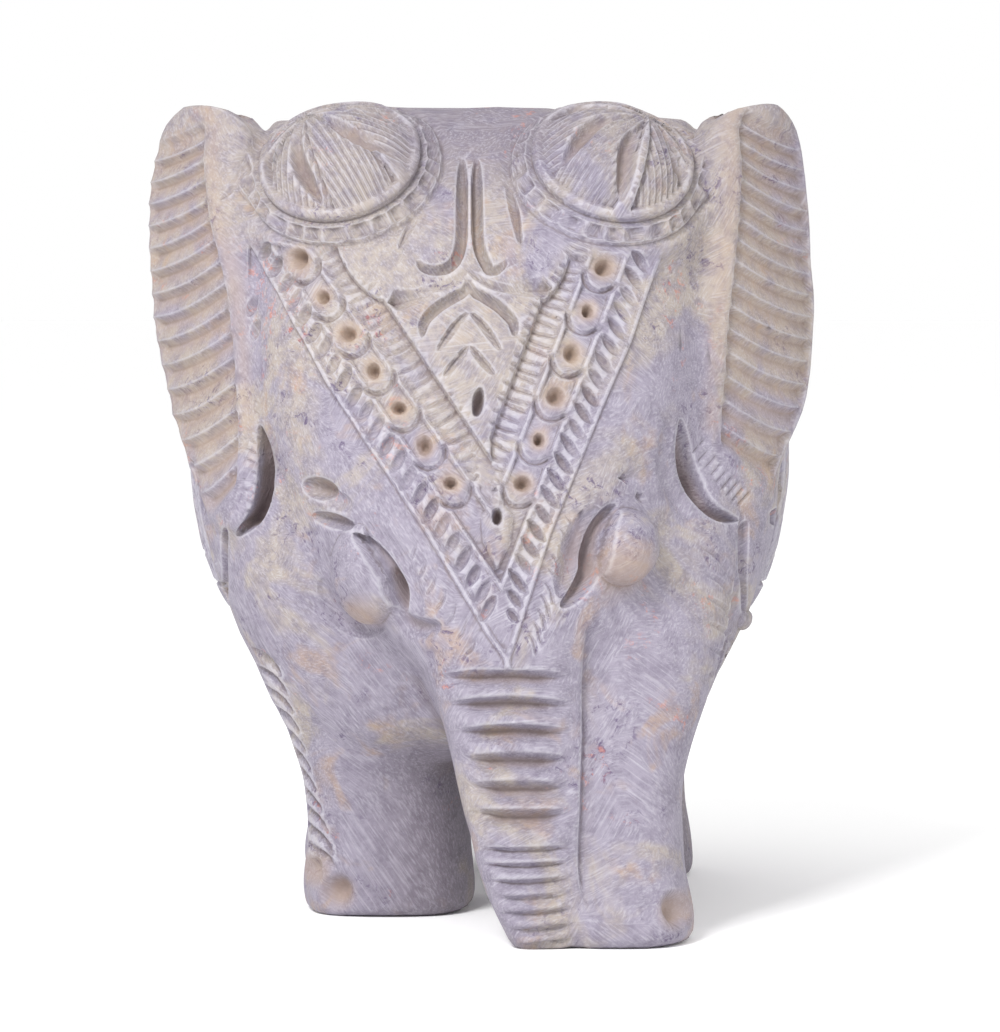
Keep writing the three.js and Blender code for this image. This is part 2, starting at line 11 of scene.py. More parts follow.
import bpy
import numpy as np
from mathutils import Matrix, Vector


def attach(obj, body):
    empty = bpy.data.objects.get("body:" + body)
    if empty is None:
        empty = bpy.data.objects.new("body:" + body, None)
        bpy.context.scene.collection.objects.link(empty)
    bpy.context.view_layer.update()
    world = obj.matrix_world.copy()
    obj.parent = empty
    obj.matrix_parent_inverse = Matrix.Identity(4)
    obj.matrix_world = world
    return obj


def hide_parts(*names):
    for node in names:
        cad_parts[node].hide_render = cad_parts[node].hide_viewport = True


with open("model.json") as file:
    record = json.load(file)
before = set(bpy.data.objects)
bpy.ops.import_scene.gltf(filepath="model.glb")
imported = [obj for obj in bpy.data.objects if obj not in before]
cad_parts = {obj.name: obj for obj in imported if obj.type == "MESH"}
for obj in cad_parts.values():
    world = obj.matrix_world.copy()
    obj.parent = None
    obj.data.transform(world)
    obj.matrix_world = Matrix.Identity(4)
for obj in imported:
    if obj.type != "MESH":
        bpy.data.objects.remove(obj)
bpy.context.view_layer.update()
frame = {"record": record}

# Driving sizes, in the carver's millimetres: x to the elephant's left, y to its back, z up.
FUSE = 0.5  # grain of the first fusing
GRAIN = 0.42  # grain of the fused surface before the front is refined
MELT_TURNS = 26  # how far the creases between the forms are melted
FRONT_EDGE = 0.17  # longest edge on the carved front
SIDE_EDGE = 0.36  # longest edge on the carved flanks
FACES = 196000  # triangles kept
MIDDLE_X = 1.55  # the middle line of the carved forehead, at MIDDLE_Z
MIDDLE_Z = 25.8
MIDDLE_DRIFT = -0.079  # its lean, for each millimetre of height
DOME_RADIUS = 10.5
DOME_MIDDLE = -1.3  # x between the two forehead domes
DOME_APART = 11.5  # from there to each dome's centre
DOME_BACK = -16.4
DOME_HEIGHT = 66.4
DOME_AXIS = (0.24, -1, 0.98)  # the way the left dome's rings face
DOME_EDGE = 62.0  # degrees from that axis to the outermost ring
ROSETTE_AXIS = (0.43, -0.24, 0.87)  # the rosettes sit further out and higher than their rings
PETALS = 8
FIRST_GAP = -36.0  # degrees round a rosette
EAR_CENTRE = -1.0
EAR_THICK = 5.5
EAR_SQUARE = 3.0  # squareness of its level sections
FLUTES = 16
TAIL_RADIUS = 1.9


# ---------------------------------------------------------------- sections

# Side -1 is the elephant's right, on the picture's left, and side 1 is its left.
# Standing sections: z, x, y, half width, half depth, squareness.
SHOULDERS = [
    (15.5, 0, -12.5, 12.5, 8.5, 2.4),
    (18, 0, -13, 18.2, 11.5, 2.6),
    (25, 0, -12.5, 22.8, 14.5, 2.7),
    (34, 0, -11.5, 26.4, 16.5, 2.7),
    (44, -0.3, -9.5, 28, 16, 2.7),
    (56, -0.3, -8, 27.6, 14, 2.7),
    (66, -0.3, -8, 26, 12, 2.7),
    (72.5, -0.3, -8.5, 24, 8, 2.6),
    (75.4, -0.3, -9, 20.5, 5, 2.4),
]
HEAD = [
    (19, 2, -28, 5, 7.5, 2.3),
    (24, 1.7, -26, 8, 10.4, 2.4),
    (28.5, 1.2, -22.5, 12.4, 13.6, 2.4),
    (34, 0.5, -19.5, 16.8, 15.9, 2.4),
    (42, -0.5, -17, 20, 16.6, 2.5),
    (52, -1.2, -15.2, 21.4, 16, 2.6),
    (60, -1.5, -14, 21, 14.6, 2.6),
    (66, -1.7, -12.6, 19, 12.4, 2.6),
    (71, -1.7, -11, 15.5, 9.4, 2.5),
    (74.6, -1.7, -10, 11.5, 6.6, 2.4),
    (76.4, -1.7, -9.5, 8, 4, 2.3),
]
TRUNK = [
    (0, 4.8, -36.5, 2.8, 5, 3),
    (4, 4, -35.5, 4.1, 5.5, 3.2),
    (10, 3.2, -33.5, 5.2, 6.2, 3.4),
    (18, 2.4, -31, 6.2, 7, 3.4),
    (25, 1.5, -29, 7.3, 7.9, 3),
    (34, 1.4, -27, 7.6, 7.6, 2.6),
]
LEFT_FORELEG = [
    (0, 11.6, -31.3, 6.7, 9.4, 2.8),
    (2, 11.7, -31.3, 6.9, 9.7, 2.8),
    (9, 11.1, -29.8, 6.5, 8.6, 2.8),
    (17, 10.8, -27, 7.6, 9.2, 2.7),
    (26, 11, -21, 11, 11.5, 2.5),
    (40, 11, -14, 14, 13, 2.4),
]
RIGHT_FORELEG = [
    (0, -9.7, -8, 7.9, 9.7, 2.8),
    (2, -9.7, -8, 8.2, 10, 2.8),
    (9, -9.8, -9, 7.7, 9.6, 2.8),
    (16, -10.8, -10, 8, 10.6, 2.7),
    (24, -12.6, -11, 9.8, 12.4, 2.6),
    (36, -12, -11, 13.5, 13.5, 2.4),
]
LEFT_HIND_LEG = [
    (0, 13.2, 20, 7.2, 8.7, 2.8),
    (2, 13.2, 20, 7.4, 9, 2.8),
    (10, 13, 19.6, 6.7, 8, 2.8),
    (18, 13.2, 20.6, 7.8, 9.6, 2.6),
    (28, 13.4, 22, 10.6, 12.6, 2.5),
    (40, 12.5, 22.5, 12, 14, 2.3),
]
HIND_MIRROR = 1.6  # the right hind leg's x is this less the left's
HIND_STEP = 5  # and it stands this much further back

# Lying sections of the barrel: y, z, half width, half height, squareness.
BARREL = [
    (-14, 45, 21, 22, 2.3),
    (-2, 45, 28, 26, 2.5),
    (10, 45, 29.7, 27.6, 2.6),
    (22, 44.5, 28.8, 26.8, 2.6),
    (32, 43.5, 25, 23.6, 2.5),
    (39.5, 42.5, 17.5, 17.5, 2.3),
    (43, 42, 7, 8, 2.1),
]

# The ear's sections: z, rim x, rim y, edge x, edge y, how much further out the left ear hangs.
EAR = [
    (36.6, 23, -24.2, 24.6, -21, 0),
    (38.6, 22.2, -24.4, 26.4, -18, 0.3),
    (43, 21.8, -24, 28.8, -15, 0.8),
    (49, 22, -23, 30.9, -12, 1.4),
    (56, 22.6, -22, 32.4, -10.5, 0.8),
    (64, 23.5, -21, 32.9, -10, -0.2),
    (70, 23.3, -20.2, 32.5, -10.5, -0.3),
    (74.5, 22.7, -19, 31, -12, 0),
    (76.6, 23.4, -17.8, 28.8, -14.5, 0.2),
]


# ---------------------------------------------------------------- lofts


def smoothed(rows, count):
    """The rows as an array, run through a Catmull-Rom curve and taken at count even steps."""
    rows = np.array(rows, float)
    at = np.linspace(0, len(rows) - 1, count)
    index = np.minimum(at.astype(int), len(rows) - 2)
    t = (at - index)[:, None]
    a = rows[np.maximum(index - 1, 0)]
    b = rows[index]
    c = rows[index + 1]
    d = rows[np.minimum(index + 2, len(rows) - 1)]
    return b + 0.5 * t * (c - a + t * (2 * a - 5 * b + 4 * c - d + t * (3 * (b - c) + d - a)))


def superellipse(square, sides):
    """Unit points round superellipses, one row for each squareness in a column of them."""
    turn = np.linspace(0, 2 * math.pi, sides, endpoint=False)
    power = 2 / square
    across = np.sign(np.cos(turn)) * np.abs(np.cos(turn)) ** power
    along = np.sign(np.sin(turn)) * np.abs(np.sin(turn)) ** power
    return across, along


def rings_of(x, y, z):
    """An array of ring, point, xyz, from coordinates given as columns, rows or tables."""
    return np.stack(np.broadcast_arrays(x, y, z), axis=-1)


def loft(rings):
    """Points and faces of a closed skin over rings, an array of ring, point, xyz."""
    count, sides, _ = rings.shape
    here = np.arange(count * sides).reshape(count, sides)
    after = np.roll(here, -1, axis=1)
    quads = np.stack([here[:-1], after[:-1], after[1:], here[1:]], axis=-1).reshape(-1, 4)
    faces = quads.tolist()
    faces.append(here[0][::-1].tolist())
    faces.append(here[-1].tolist())
    return rings.reshape(-1, 3), faces


def standing(rows, sides=72, count=60):
    """A loft of upright sections."""
    z, x, y, wide, deep, square = smoothed(rows, count).T[:, :, None]
    across, along = superellipse(square, sides)
    return loft(rings_of(x + wide * across, y + deep * along, z))


def lying(rows, sides=96, count=70):
    """A loft of sections that stand across the length."""
    y, z, wide, tall, square = smoothed(rows, count).T[:, :, None]
    across, along = superellipse(square, sides)
    return loft(rings_of(-wide * across, y, z + tall * along))


def ear_span(side, z):
    """Rim and edge of one ear at each height, as two arrays of x and y."""
    rows = smoothed(EAR, 200)
    level = rows[:, 0]
    rim_x, rim_y, edge_x, edge_y, hang = (np.interp(z, level, rows[:, k]) for k in range(1, 6))
    hang = hang * (side > 0)
    rim = np.stack([EAR_CENTRE + side * rim_x, rim_y], axis=-1)
    edge = np.stack([EAR_CENTRE + side * (edge_x + hang), edge_y], axis=-1)
    return rim, edge


def ear(side, sides=64, count=60):
    """A loft of one ear, thin from front to back and hung out from the head."""
    z = smoothed(EAR, count)[:, 0]
    rim, edge = ear_span(side, z)
    along = (edge - rim) / 2
    across = np.stack([-along[:, 1], along[:, 0]], axis=-1)
    across *= EAR_THICK / 2 / np.linalg.norm(across, axis=1, keepdims=True)
    centre = rim + along + across * side
    u, v = superellipse(np.full((count, 1), EAR_SQUARE), sides)
    flat = centre[:, None] + along[:, None] * u[..., None] + across[:, None] * side * v[..., None]
    rings = np.dstack([flat, np.repeat(z[:, None], sides, axis=1)])
    if side < 0:
        rings = rings[:, ::-1]
    return loft(rings)


def dome_centre(side):
    """The middle of one forehead dome."""
    return np.array([DOME_MIDDLE + side * DOME_APART, DOME_BACK, DOME_HEIGHT])


def frame_about(axis, side):
    """An axis given for the left dome, mirrored for the right, at unit length, and two directions
    across it."""
    axis = np.array([side * axis[0], *axis[1:]])
    axis /= np.linalg.norm(axis)
    across = np.cross([0, 0, 1.0], axis)
    across /= np.linalg.norm(across)
    return axis, across, np.cross(axis, across)


def ball(centre, radius, sides=64):
    """A closed ball, from rings between two small caps."""
    lift = np.linspace(-0.49, 0.49, sides // 2)[:, None] * math.pi
    turn = np.linspace(0, 2 * math.pi, sides, endpoint=False)
    unit = rings_of(np.cos(lift) * np.cos(turn), np.cos(lift) * np.sin(turn), np.sin(lift))
    return loft(centre + unit * radius)


def rope(points, radius, sides=24, count=60):
    """A closed tube through the points, tapered at both ends."""
    path = smoothed(points, count)
    way = np.gradient(path, axis=0)
    way /= np.linalg.norm(way, axis=1, keepdims=True)
    over = np.cross(way, [1.0, 0, 0])
    over /= np.linalg.norm(over, axis=1, keepdims=True)
    beside = np.cross(over, way)
    turn = np.linspace(0, 2 * math.pi, sides, endpoint=False)
    share = np.linspace(0, 1, count)
    size = radius * np.clip(np.minimum(share, 1 - share) * 12, 0.15, 1) ** 0.5
    rings = (
        path[:, None]
        + size[:, None, None] * np.cos(turn)[None, :, None] * beside[:, None]
        + size[:, None, None] * np.sin(turn)[None, :, None] * over[:, None]
    )
    return loft(rings)


# The tail's path, as x, y, z.
TAIL = [
    (0, 40.6, 57),
    (0.4, 43.2, 47),
    (0, 43.6, 38),
    (-2.2, 41.6, 29),
    (-6, 36.8, 20),
    (-8, 33.6, 11),
]


def hind_leg(side):
    """The sections of one hind leg."""
    if side > 0:
        return LEFT_HIND_LEG
    return [(z, HIND_MIRROR - x, y + HIND_STEP, *rest) for z, x, y, *rest in LEFT_HIND_LEG]


def forms():
    """Every large form of the elephant."""
    parts = [lying(BARREL)]
    parts += [standing(rows) for rows in (SHOULDERS, HEAD, TRUNK, LEFT_FORELEG, RIGHT_FORELEG)]
    parts += [standing(hind_leg(side)) for side in (-1, 1)]
    parts += [ear(side) for side in (-1, 1)]
    parts += [ball(dome_centre(side), DOME_RADIUS) for side in (-1, 1)]
    parts.append(rope(TAIL, TAIL_RADIUS))
    return parts


# ---------------------------------------------------------------- meshes as arrays


def mesh_of(name, points, faces):
    """A Blender mesh from points and faces."""
    mesh = bpy.data.meshes.new(name)
    mesh.from_pydata(np.asarray(points).tolist(), [], faces if isinstance(faces, list) else faces.tolist())
    return mesh


def placed(name, mesh):
    """A new object that shows the mesh."""
    piece = bpy.data.objects.new(name, mesh)
    bpy.context.scene.collection.objects.link(piece)
    return piece


def baked(piece):
    """The piece's mesh with its modifiers applied; the piece itself goes."""
    mesh = piece.data
    result = bpy.data.meshes.new_from_object(piece.evaluated_get(bpy.context.evaluated_depsgraph_get()))
    bpy.data.objects.remove(piece)
    bpy.data.meshes.remove(mesh)
    return result


def arrays_of(mesh):
    """Points and triangles of a Blender mesh."""
    mesh.calc_loop_triangles()
    points = np.empty(len(mesh.vertices) * 3)
    mesh.vertices.foreach_get("co", points)
    faces = np.empty(len(mesh.loop_triangles) * 3, np.int64)
    mesh.loop_triangles.foreach_get("vertices", faces)
    return points.reshape(-1, 3), faces.reshape(-1, 3)


def fused(points, faces, grain):
    """The mesh remeshed as one skin with the given grain."""
    piece = placed("rough", mesh_of("rough", points, faces))
    remesh = piece.modifiers.new("fuse", "REMESH")
    remesh.mode = "VOXEL"
    remesh.voxel_size = grain
    skin = baked(piece)
    result = arrays_of(skin)
    bpy.data.meshes.remove(skin)
    return result


def edges_of(faces):
    """Each edge once, and for every triangle the numbers of its three edges."""
    ends = np.stack([faces, np.roll(faces, -1, axis=1)], axis=-1).reshape(-1, 2)
    ends.sort(axis=1)
    span = int(faces.max()) + 1
    keys, number = np.unique(ends[:, 0] * span + ends[:, 1], return_inverse=True)
    return np.stack([keys // span, keys % span], axis=1), number.reshape(-1, 3)


def neighbour_mean(values, edges):
    """The mean of each point's neighbours' values."""
    a, b = edges.T
    count = len(values)
    share = np.bincount(a, minlength=count) + np.bincount(b, minlength=count)
    columns = [
        np.bincount(a, values[b, k], count) + np.bincount(b, values[a, k], count)
        for k in range(values.shape[1])
    ]
    return np.stack(columns, axis=1) / share[:, None]


def normals_of(points, faces):
    """The unit normal at each point."""
    a, b, c = (points[faces[:, k]] for k in range(3))
    flat = np.cross(b - a, c - a)
    total = np.zeros_like(points)
    for k in range(3):
        for axis in range(3):
            total[:, axis] += np.bincount(faces[:, k], flat[:, axis], len(points))
    return total / np.linalg.norm(total, axis=1, keepdims=True)


def melted(points, faces, turns):
    """Fills the creases between forms: hollow places are drawn outwards, the rest stays."""
    edges, _ = edges_of(faces)
    for _ in range(turns):
        drift = neighbour_mean(points, edges) - points
        normal = normals_of(points, faces)
        outward = np.einsum("ij,ij->i", drift, normal)
        points = points + np.clip(outward, 0, None)[:, None] * normal * 0.9
        points = points + 0.15 * drift * (outward > 0)[:, None]
    for _ in range(2):
        points = points + 0.5 * (neighbour_mean(points, edges) - points)
    return points


def split(points, faces, reach):
    """Halves every edge that is longer than reach gives at its middle; the skin stays closed."""
    edges, number = edges_of(faces)
    a, b = points[edges[:, 0]], points[edges[:, 1]]
    middle = (a + b) / 2
    long = np.linalg.norm(a - b, axis=1) > reach(middle)
    fresh = np.full(len(edges), -1)
    fresh[long] = len(points) + np.arange(long.sum())
    cut = fresh[number]
    count = (cut >= 0).sum(axis=1)
    kept = [faces[count == 0]]

    every = count == 3
    (p, q, r), (pq, qr, rp) = faces[every].T, cut[every].T
    kept += [np.stack(t, axis=1) for t in ((p, pq, rp), (pq, q, qr), (rp, qr, r), (pq, qr, rp))]

    for corner in range(3):
        order = [corner, (corner + 1) % 3, (corner + 2) % 3]
        one = (count == 1) & (cut[:, corner] >= 0)
        p, q, r = faces[one][:, order].T
        pq = cut[one][:, corner]
        kept += [np.stack((p, pq, r), axis=1), np.stack((pq, q, r), axis=1)]
        two = (count == 2) & (cut[:, order[2]] < 0)
        p, q, r = faces[two][:, order].T
        pq, qr = cut[two][:, order[0]], cut[two][:, order[1]]
        kept += [np.stack(t, axis=1) for t in ((pq, q, qr), (p, pq, qr), (p, qr, r))]
    return np.concatenate([points, middle[long]]), np.concatenate(kept)


# ---------------------------------------------------------------- carving tools


def ease(value, low, high):
    """0 below low, 1 above high, and a smooth step between."""
    t = np.clip((value - low) / (high - low), 0, 1)
    return t * t * (3 - 2 * t)


def mix(a, b, t):
    """The value a share t of the way from a to b."""
    return a + (b - a) * t


class Field:
    """Depths to cut at points of a surface, placed by two coordinates u and v in millimetres."""

    def __init__(self, u, v, where):
        self.u = u
        self.v = v
        self.index = where if where.dtype != bool else np.flatnonzero(where)
        self.depth = np.zeros(len(u))
        self.warm = np.zeros(len(u))

    def layer(self):
        """A second field over the same points, to be added to this one."""
        return Field(self.u, self.v, self.index)

    def near(self, u, v, reach):
        """Numbers of the points within reach of a place, and their offsets from it."""
        uu, vv = self.u[self.index], self.v[self.index]
        close = (np.abs(uu - u) < reach) & (np.abs(vv - v) < reach)
        index = self.index[close]
        return index, self.u[index] - u, self.v[index] - v

    def near_oval(self, u, v, long, wide, lean, reach):
        """Numbers of the points near an oval, and how far inside it each is: 1 at its middle."""
        index, du, dv = self.near(u, v, reach)
        along = du * math.sin(lean) + dv * math.cos(lean)
        across = du * math.cos(lean) - dv * math.sin(lean)
        inside = 1 - (along / long) ** 2 - (across / wide) ** 2
        return index, np.clip(inside, 0, 1)

    def deepen(self, index, depth):
        """Cuts to at least this depth."""
        cut = depth > 0
        self.depth[index[cut]] = np.maximum(self.depth[index[cut]], depth[cut])

    def tint(self, index, gap, share, full, gone):
        """Warms the stone's colour by a share up to the gap full, and less and less up to gone."""
        self.warm[index] = np.maximum(self.warm[index], share - share * ease(gap, full, gone))

    def oval(self, u, v, long, wide, lean, deep, power=1.0):
        """A scoop: an oval bowl whose long axis leans by the angle from upright."""
        index, inside = self.near_oval(u, v, long, wide, lean, long * 1.2)
        self.deepen(index, deep * inside ** power)

    def bulge(self, u, v, long, wide, lean, high, power=0.5):
        """A raised oval, high at its middle."""
        index, inside = self.near_oval(u, v, long, wide, lean, max(long, wide) * 1.1)
        self.depth[index] -= high * inside ** power

    def wedge(self, start, end, half, deep, back=0.12):
        """A chip cut: a deep wide end at start, running out to a point at end."""
        start, end = np.array(start), np.array(end)
        length = np.linalg.norm(end - start)
        way = (end - start) / length
        index, du, dv = self.near(*start, length + half)
        along = du * way[0] + dv * way[1]
        across = np.abs(du * way[1] - dv * way[0])
        share = along / length
        room = half * np.sqrt(np.clip(1 - share, 0, 1)) * ease(share, -back, back)
        inside = np.clip(1 - across / np.maximum(room, 1e-6), 0, 1)
        self.deepen(index, deep * inside ** 0.8 * np.clip(1 - share, 0, 1) * (share > -back))

    def stroke(self, path, width, deep, taper=0.25, power=1.0, steep=0.0, pointed=0.65):
        """One cut along a path, tapering at its ends; steep moves its wall to one side."""
        path = np.asarray(path, float)
        middle = (path.min(axis=0) + path.max(axis=0)) / 2
        reach = np.max(path.max(axis=0) - path.min(axis=0)) / 2 + width
        index, du, dv = self.near(*middle, reach)
        if not len(index):
            return
        spot = np.stack([du, dv], axis=1) + middle
        best = np.full(len(index), 1e9)
        share = np.zeros(len(index))
        hand = np.zeros(len(index))
        lengths = np.linalg.norm(np.diff(path, axis=0), axis=1)
        run = np.concatenate([[0], np.cumsum(lengths)])
        for k in range(len(path) - 1):
            way = (path[k + 1] - path[k]) / lengths[k]
            rel = spot - path[k]
            t = np.clip(rel @ way, 0, lengths[k])
            off = rel - t[:, None] * way
            gap = np.linalg.norm(off, axis=1)
            closer = gap < best
            best = np.where(closer, gap, best)
            share = np.where(closer, (run[k] + t) / run[-1], share)
            hand = np.where(closer, np.sign(rel[:, 0] * way[1] - rel[:, 1] * way[0]), hand)
        ends = np.clip(np.minimum(share, 1 - share) / max(taper, 1e-6), 0, 1)
        ends = np.sqrt(ends * (2 - ends))
        half = width / 2 * mix(1 - pointed, 1.0, ends)
        side = hand * best + steep * half
        span = np.where(side > 0, half * (1 + steep), half * (1 - steep))
        inside = np.clip(1 - (side / np.maximum(span, 1e-6)) ** 2, 0, 1)
        self.deepen(index, deep * ends * inside ** power)

    def groove(self, points, width, deep, count=14, **shape):
        """A stroke along the smooth curve through a few points."""
        self.stroke(smoothed(points, count), width, deep, **shape)


# ---------------------------------------------------------------- forehead

# The V's outermost line on each side: heights, and its distances from the middle line there.
V_OUTER = {
    -1: ([25.8, 28.1, 37.2, 50.6, 61.7, 66], [0, 1.5, 6.3, 14.4, 19.9, 22.2]),
    1: ([25.8, 37, 45, 54.6, 63.2, 67], [0, 4.6, 8.6, 13.6, 17.4, 19.2]),
}
# Its three inner lines are straight: the height where each leaves the middle line, and its slope.
V_INNER = {
    -1: [(32.2, 0.61), (38.3, 0.634), (44.0, 0.605)],
    1: [(32.2, 0.465), (39.6, 0.468), (46.0, 0.46)],
}
V_TOP = {-1: 63.6, 1: 62.6}
V_RIDGE = 0.12  # half the thickness of the raised lines
V_WALL = 0.3  # where the wall beside a line reaches the band's floor
OUTER_SUNK = 0.22
BEADS_SUNK = 0.62  # the beads rise again by as much
FRINGE_SUNK = (0.3, 0.95)  # beside the beads, and beside the hanging leaf
LOBE_MIDDLE = 61.0  # height of the hanging leaf's widest part
LOBE_HALF = 2.7
LOBE_SWELL = {-1: 1.5, 1: 1.1}
LEAF_STEM = -1.9  # x of the hanging leaf's stem


def middle_x(z):
    """The forehead's middle line, which leans a little."""
    return MIDDLE_X + MIDDLE_DRIFT * (z - MIDDLE_Z)


def lobe_swell(side, z):
    """How far a lobe of the hanging leaf swells over the innermost band."""
    return LOBE_SWELL[side] * np.sqrt(np.clip(1 - ((z - LOBE_MIDDLE) / LOBE_HALF) ** 2, 0, 1))


def v_offset(side, line, z):
    """How far from the middle line a line of the V runs at height z; line 0 is the outermost."""
    if line == 0:
        heights, offsets = V_OUTER[side]
        return np.interp(z, heights, offsets)
    start, slope = V_INNER[side][line - 1]
    swell = lobe_swell(side, z) if line == 3 else 0
    return slope * (z - start) + swell


def v_slope(side, line):
    """The steepness of one line: offset for each millimetre of height."""
    if line == 0:
        heights, offsets = V_OUTER[side]
        return (offsets[-2] - offsets[0]) / (heights[-2] - heights[0])
    return V_INNER[side][line - 1][1]


def v_point(side, line, z, inward=0.0):
    """A place on a line of the V, or inward of it by a distance square to the line."""
    slope = v_slope(side, line)
    square = math.hypot(1, slope)
    u = middle_x(z) + side * v_offset(side, line, z)
    return np.array([u - side * inward / square, z + inward * slope / square])


def v_bands(field):
    """Sinks the three bands of the V between thin raised lines."""
    index = field.index
    x, z = field.u[index], field.v[index]
    offset = x - middle_x(z)
    side = np.where(offset < 0, -1, 1)
    gaps = []
    for line in range(4):
        gap = np.zeros(len(index))
        for hand in (-1, 1):
            here = side == hand
            slope = v_slope(hand, line)
            run = v_offset(hand, line, z[here]) - np.abs(offset[here])
            gap[here] = run / math.hypot(1, slope)
        gaps.append(gap)
    top = np.where(side < 0, V_TOP[-1], V_TOP[1])
    below_top = ease(top - z, 0, 0.8)
    outer_band = ease(gaps[0], V_RIDGE, V_WALL) * ease(-gaps[1], V_RIDGE, V_WALL)
    bead_band = ease(gaps[1], V_RIDGE, V_WALL) * ease(-gaps[2], V_RIDGE, V_WALL)
    fringe_band = ease(gaps[2], V_RIDGE, V_WALL) * ease(-gaps[3], 0.02, V_WALL)
    width = np.clip(gaps[2] - gaps[3], 0.5, None)
    slant = np.clip(gaps[2] / width, 0, 1)
    depth = outer_band * OUTER_SUNK + bead_band * BEADS_SUNK + fringe_band * mix(*FRINGE_SUNK, slant ** 1.5)
    # Outside the V the cheek falls away softly from the outermost line.
    outside = ease(-gaps[0], 0.14, 0.3) * (1 - ease(-gaps[0], 0.5, 3.0)) * 0.3
    field.depth[index] = np.maximum(field.depth[index], (depth + outside) * below_top)


def scoops(field, pitch=1.68, lowest=29.6):
    """Small leaning ovals in a row down the outer band of the V."""
    for side, lean, wide in ((-1, 0.50, 0.56), (1, -0.62, 0.5)):
        drop = pitch / math.hypot(1, v_slope(side, 0))
        z = V_TOP[side] - 0.9
        turn = 0
        while z > lowest:
            outer = v_point(side, 0, z)
            inner = np.array([middle_x(z) + side * max(v_offset(side, 1, z), 0), z])
            u, v = (outer + inner) / 2
            room = abs(outer[0] - inner[0]) / 2
            long = min(1.38, room * 1.06) * (1 + 0.08 * math.sin(turn * 2.4))
            field.oval(u, v, long, wide, lean, 0.85 + 0.1 * math.sin(turn * 1.7), 0.55)
            z -= drop
            turn += 1


def bead_places(side):
    """Centres of the drilled beads down one side of the V, from the top."""
    count, top, bottom = (7, 61.9, 41.6) if side < 0 else (6, 61.2, 41.6)
    places = []
    for z in np.linspace(top, bottom, count):
        outer = middle_x(z) + side * v_offset(side, 1, z)
        inner = middle_x(z) + side * max(v_offset(side, 2, z), 0)
        places.append(((outer + inner) / 2, z))
    return places


def bead(field, u, v, down, hole):
    """One fish-scale bead: a low dome, a crescent cut under it and a soft-edged hole in its middle."""
    index, du, dv = field.near(u, v, 2.6)
    along = du * down[0] + dv * down[1]
    across = du * down[1] - dv * down[0]
    gap = np.hypot(along * 0.8, across * 1.02)
    dome = BEADS_SUNK * np.clip(1 - (gap / 1.95) ** 2, 0, 1) ** 0.8
    level = field.depth[index]
    field.depth[index] = level - dome * np.clip(level / BEADS_SUNK, 0, 1)
    crescent = np.exp(-(((gap - 1.8) / 0.3) ** 2)) * ease(along, 0.4, 1.4)
    field.deepen(index, 0.95 * crescent)
    gap = np.hypot(du * (1 + 0.15 * math.sin(v)), dv * (1 + 0.1 * math.cos(3 * v)))
    field.depth[index] += 0.4 * np.exp(-((gap / 1.15) ** 2))
    field.depth[index] += 1.3 * (1 - ease(gap, 0.12, hole))
    field.tint(index, gap, 0.9, 0.6, 1.5)


def beads(field):
    """The beads down both sides of the V, their holes not quite alike."""
    for side in (-1, 1):
        slope = v_slope(side, 1)
        down = np.array([-side * slope, -1]) / math.hypot(1, slope)
        for u, v in bead_places(side):
            bead(field, u, v, down, 0.86 + 0.14 * math.sin(2.7 * v + side))


def apex_bead(field):
    """The leaf-shaped bead at the foot of the V, with its drilled eye."""
    z = 37.4
    index, du, dv = field.near(middle_x(z), z, 4.0)
    width = np.interp(dv, [-3.6, -1.0, 1.4, 2.4], [0, 1.3, 1.5, 0.6])
    inside = np.sqrt(np.clip(1 - (du / np.maximum(width, 0.05)) ** 2, 0, 1)) * (width > 0.05)
    field.depth[index] -= 0.5 * inside * np.clip(field.depth[index] / 0.6, 0, 1)
    gap = np.hypot(du, (dv - 1.2) * 0.62)
    field.depth[index] += 1.5 * (1 - ease(gap, 0.22, 0.55))


def fringe(field, pitch=0.95, lowest=40.5, long=3.5):
    """Short irregular strokes across the inner band of the V, shorter beside the leaf's lobes."""
    cuts = field.layer()
    for side in (-1, 1):
        square = math.hypot(1, v_slope(side, 2))
        z = V_TOP[side] - 0.2
        turn = 0
        while z > lowest:
            room = long * min(1, (z - 39.5) / 7) - 0.85 * lobe_swell(side, z)
            sway = 0.25 * math.sin(turn * 1.9)
            start = v_point(side, 2, z, 0.35)
            end = v_point(side, 2, z + sway, room)
            middle = (start + end) / 2 + [0, -0.12]
            cuts.stroke([start, middle, end], 0.55, 0.28 + 0.08 * math.sin(turn * 3.1))
            z -= pitch / square * (1 + 0.12 * math.sin(turn * 2.3))
            turn += 1
    field.depth += cuts.depth


def under_hatch(field):
    """Curved strokes that fan out under the V on both cheeks."""
    for turn in range(7):
        z = 38.4 - turn * 1.45
        start = v_point(-1, 0, z - 0.6) + [-0.5, -0.3]
        field.groove([start, start + [-0.3, -1.9], start + [-1.0, -3.4 + turn * 0.12]], 0.5, 0.32)
    for turn in range(10):
        z = 39.0 - turn * 1.15
        start = v_point(1, 0, z) + [0.45, 0]
        field.groove([start, start + [0.9, -1.1], start + [1.3, -2.7]], 0.5, 0.42)


def beside_stem(side, line):
    """A path given as distances out from the hanging leaf's stem, and heights."""
    return [(LEAF_STEM + side * out, z) for out, z in line]


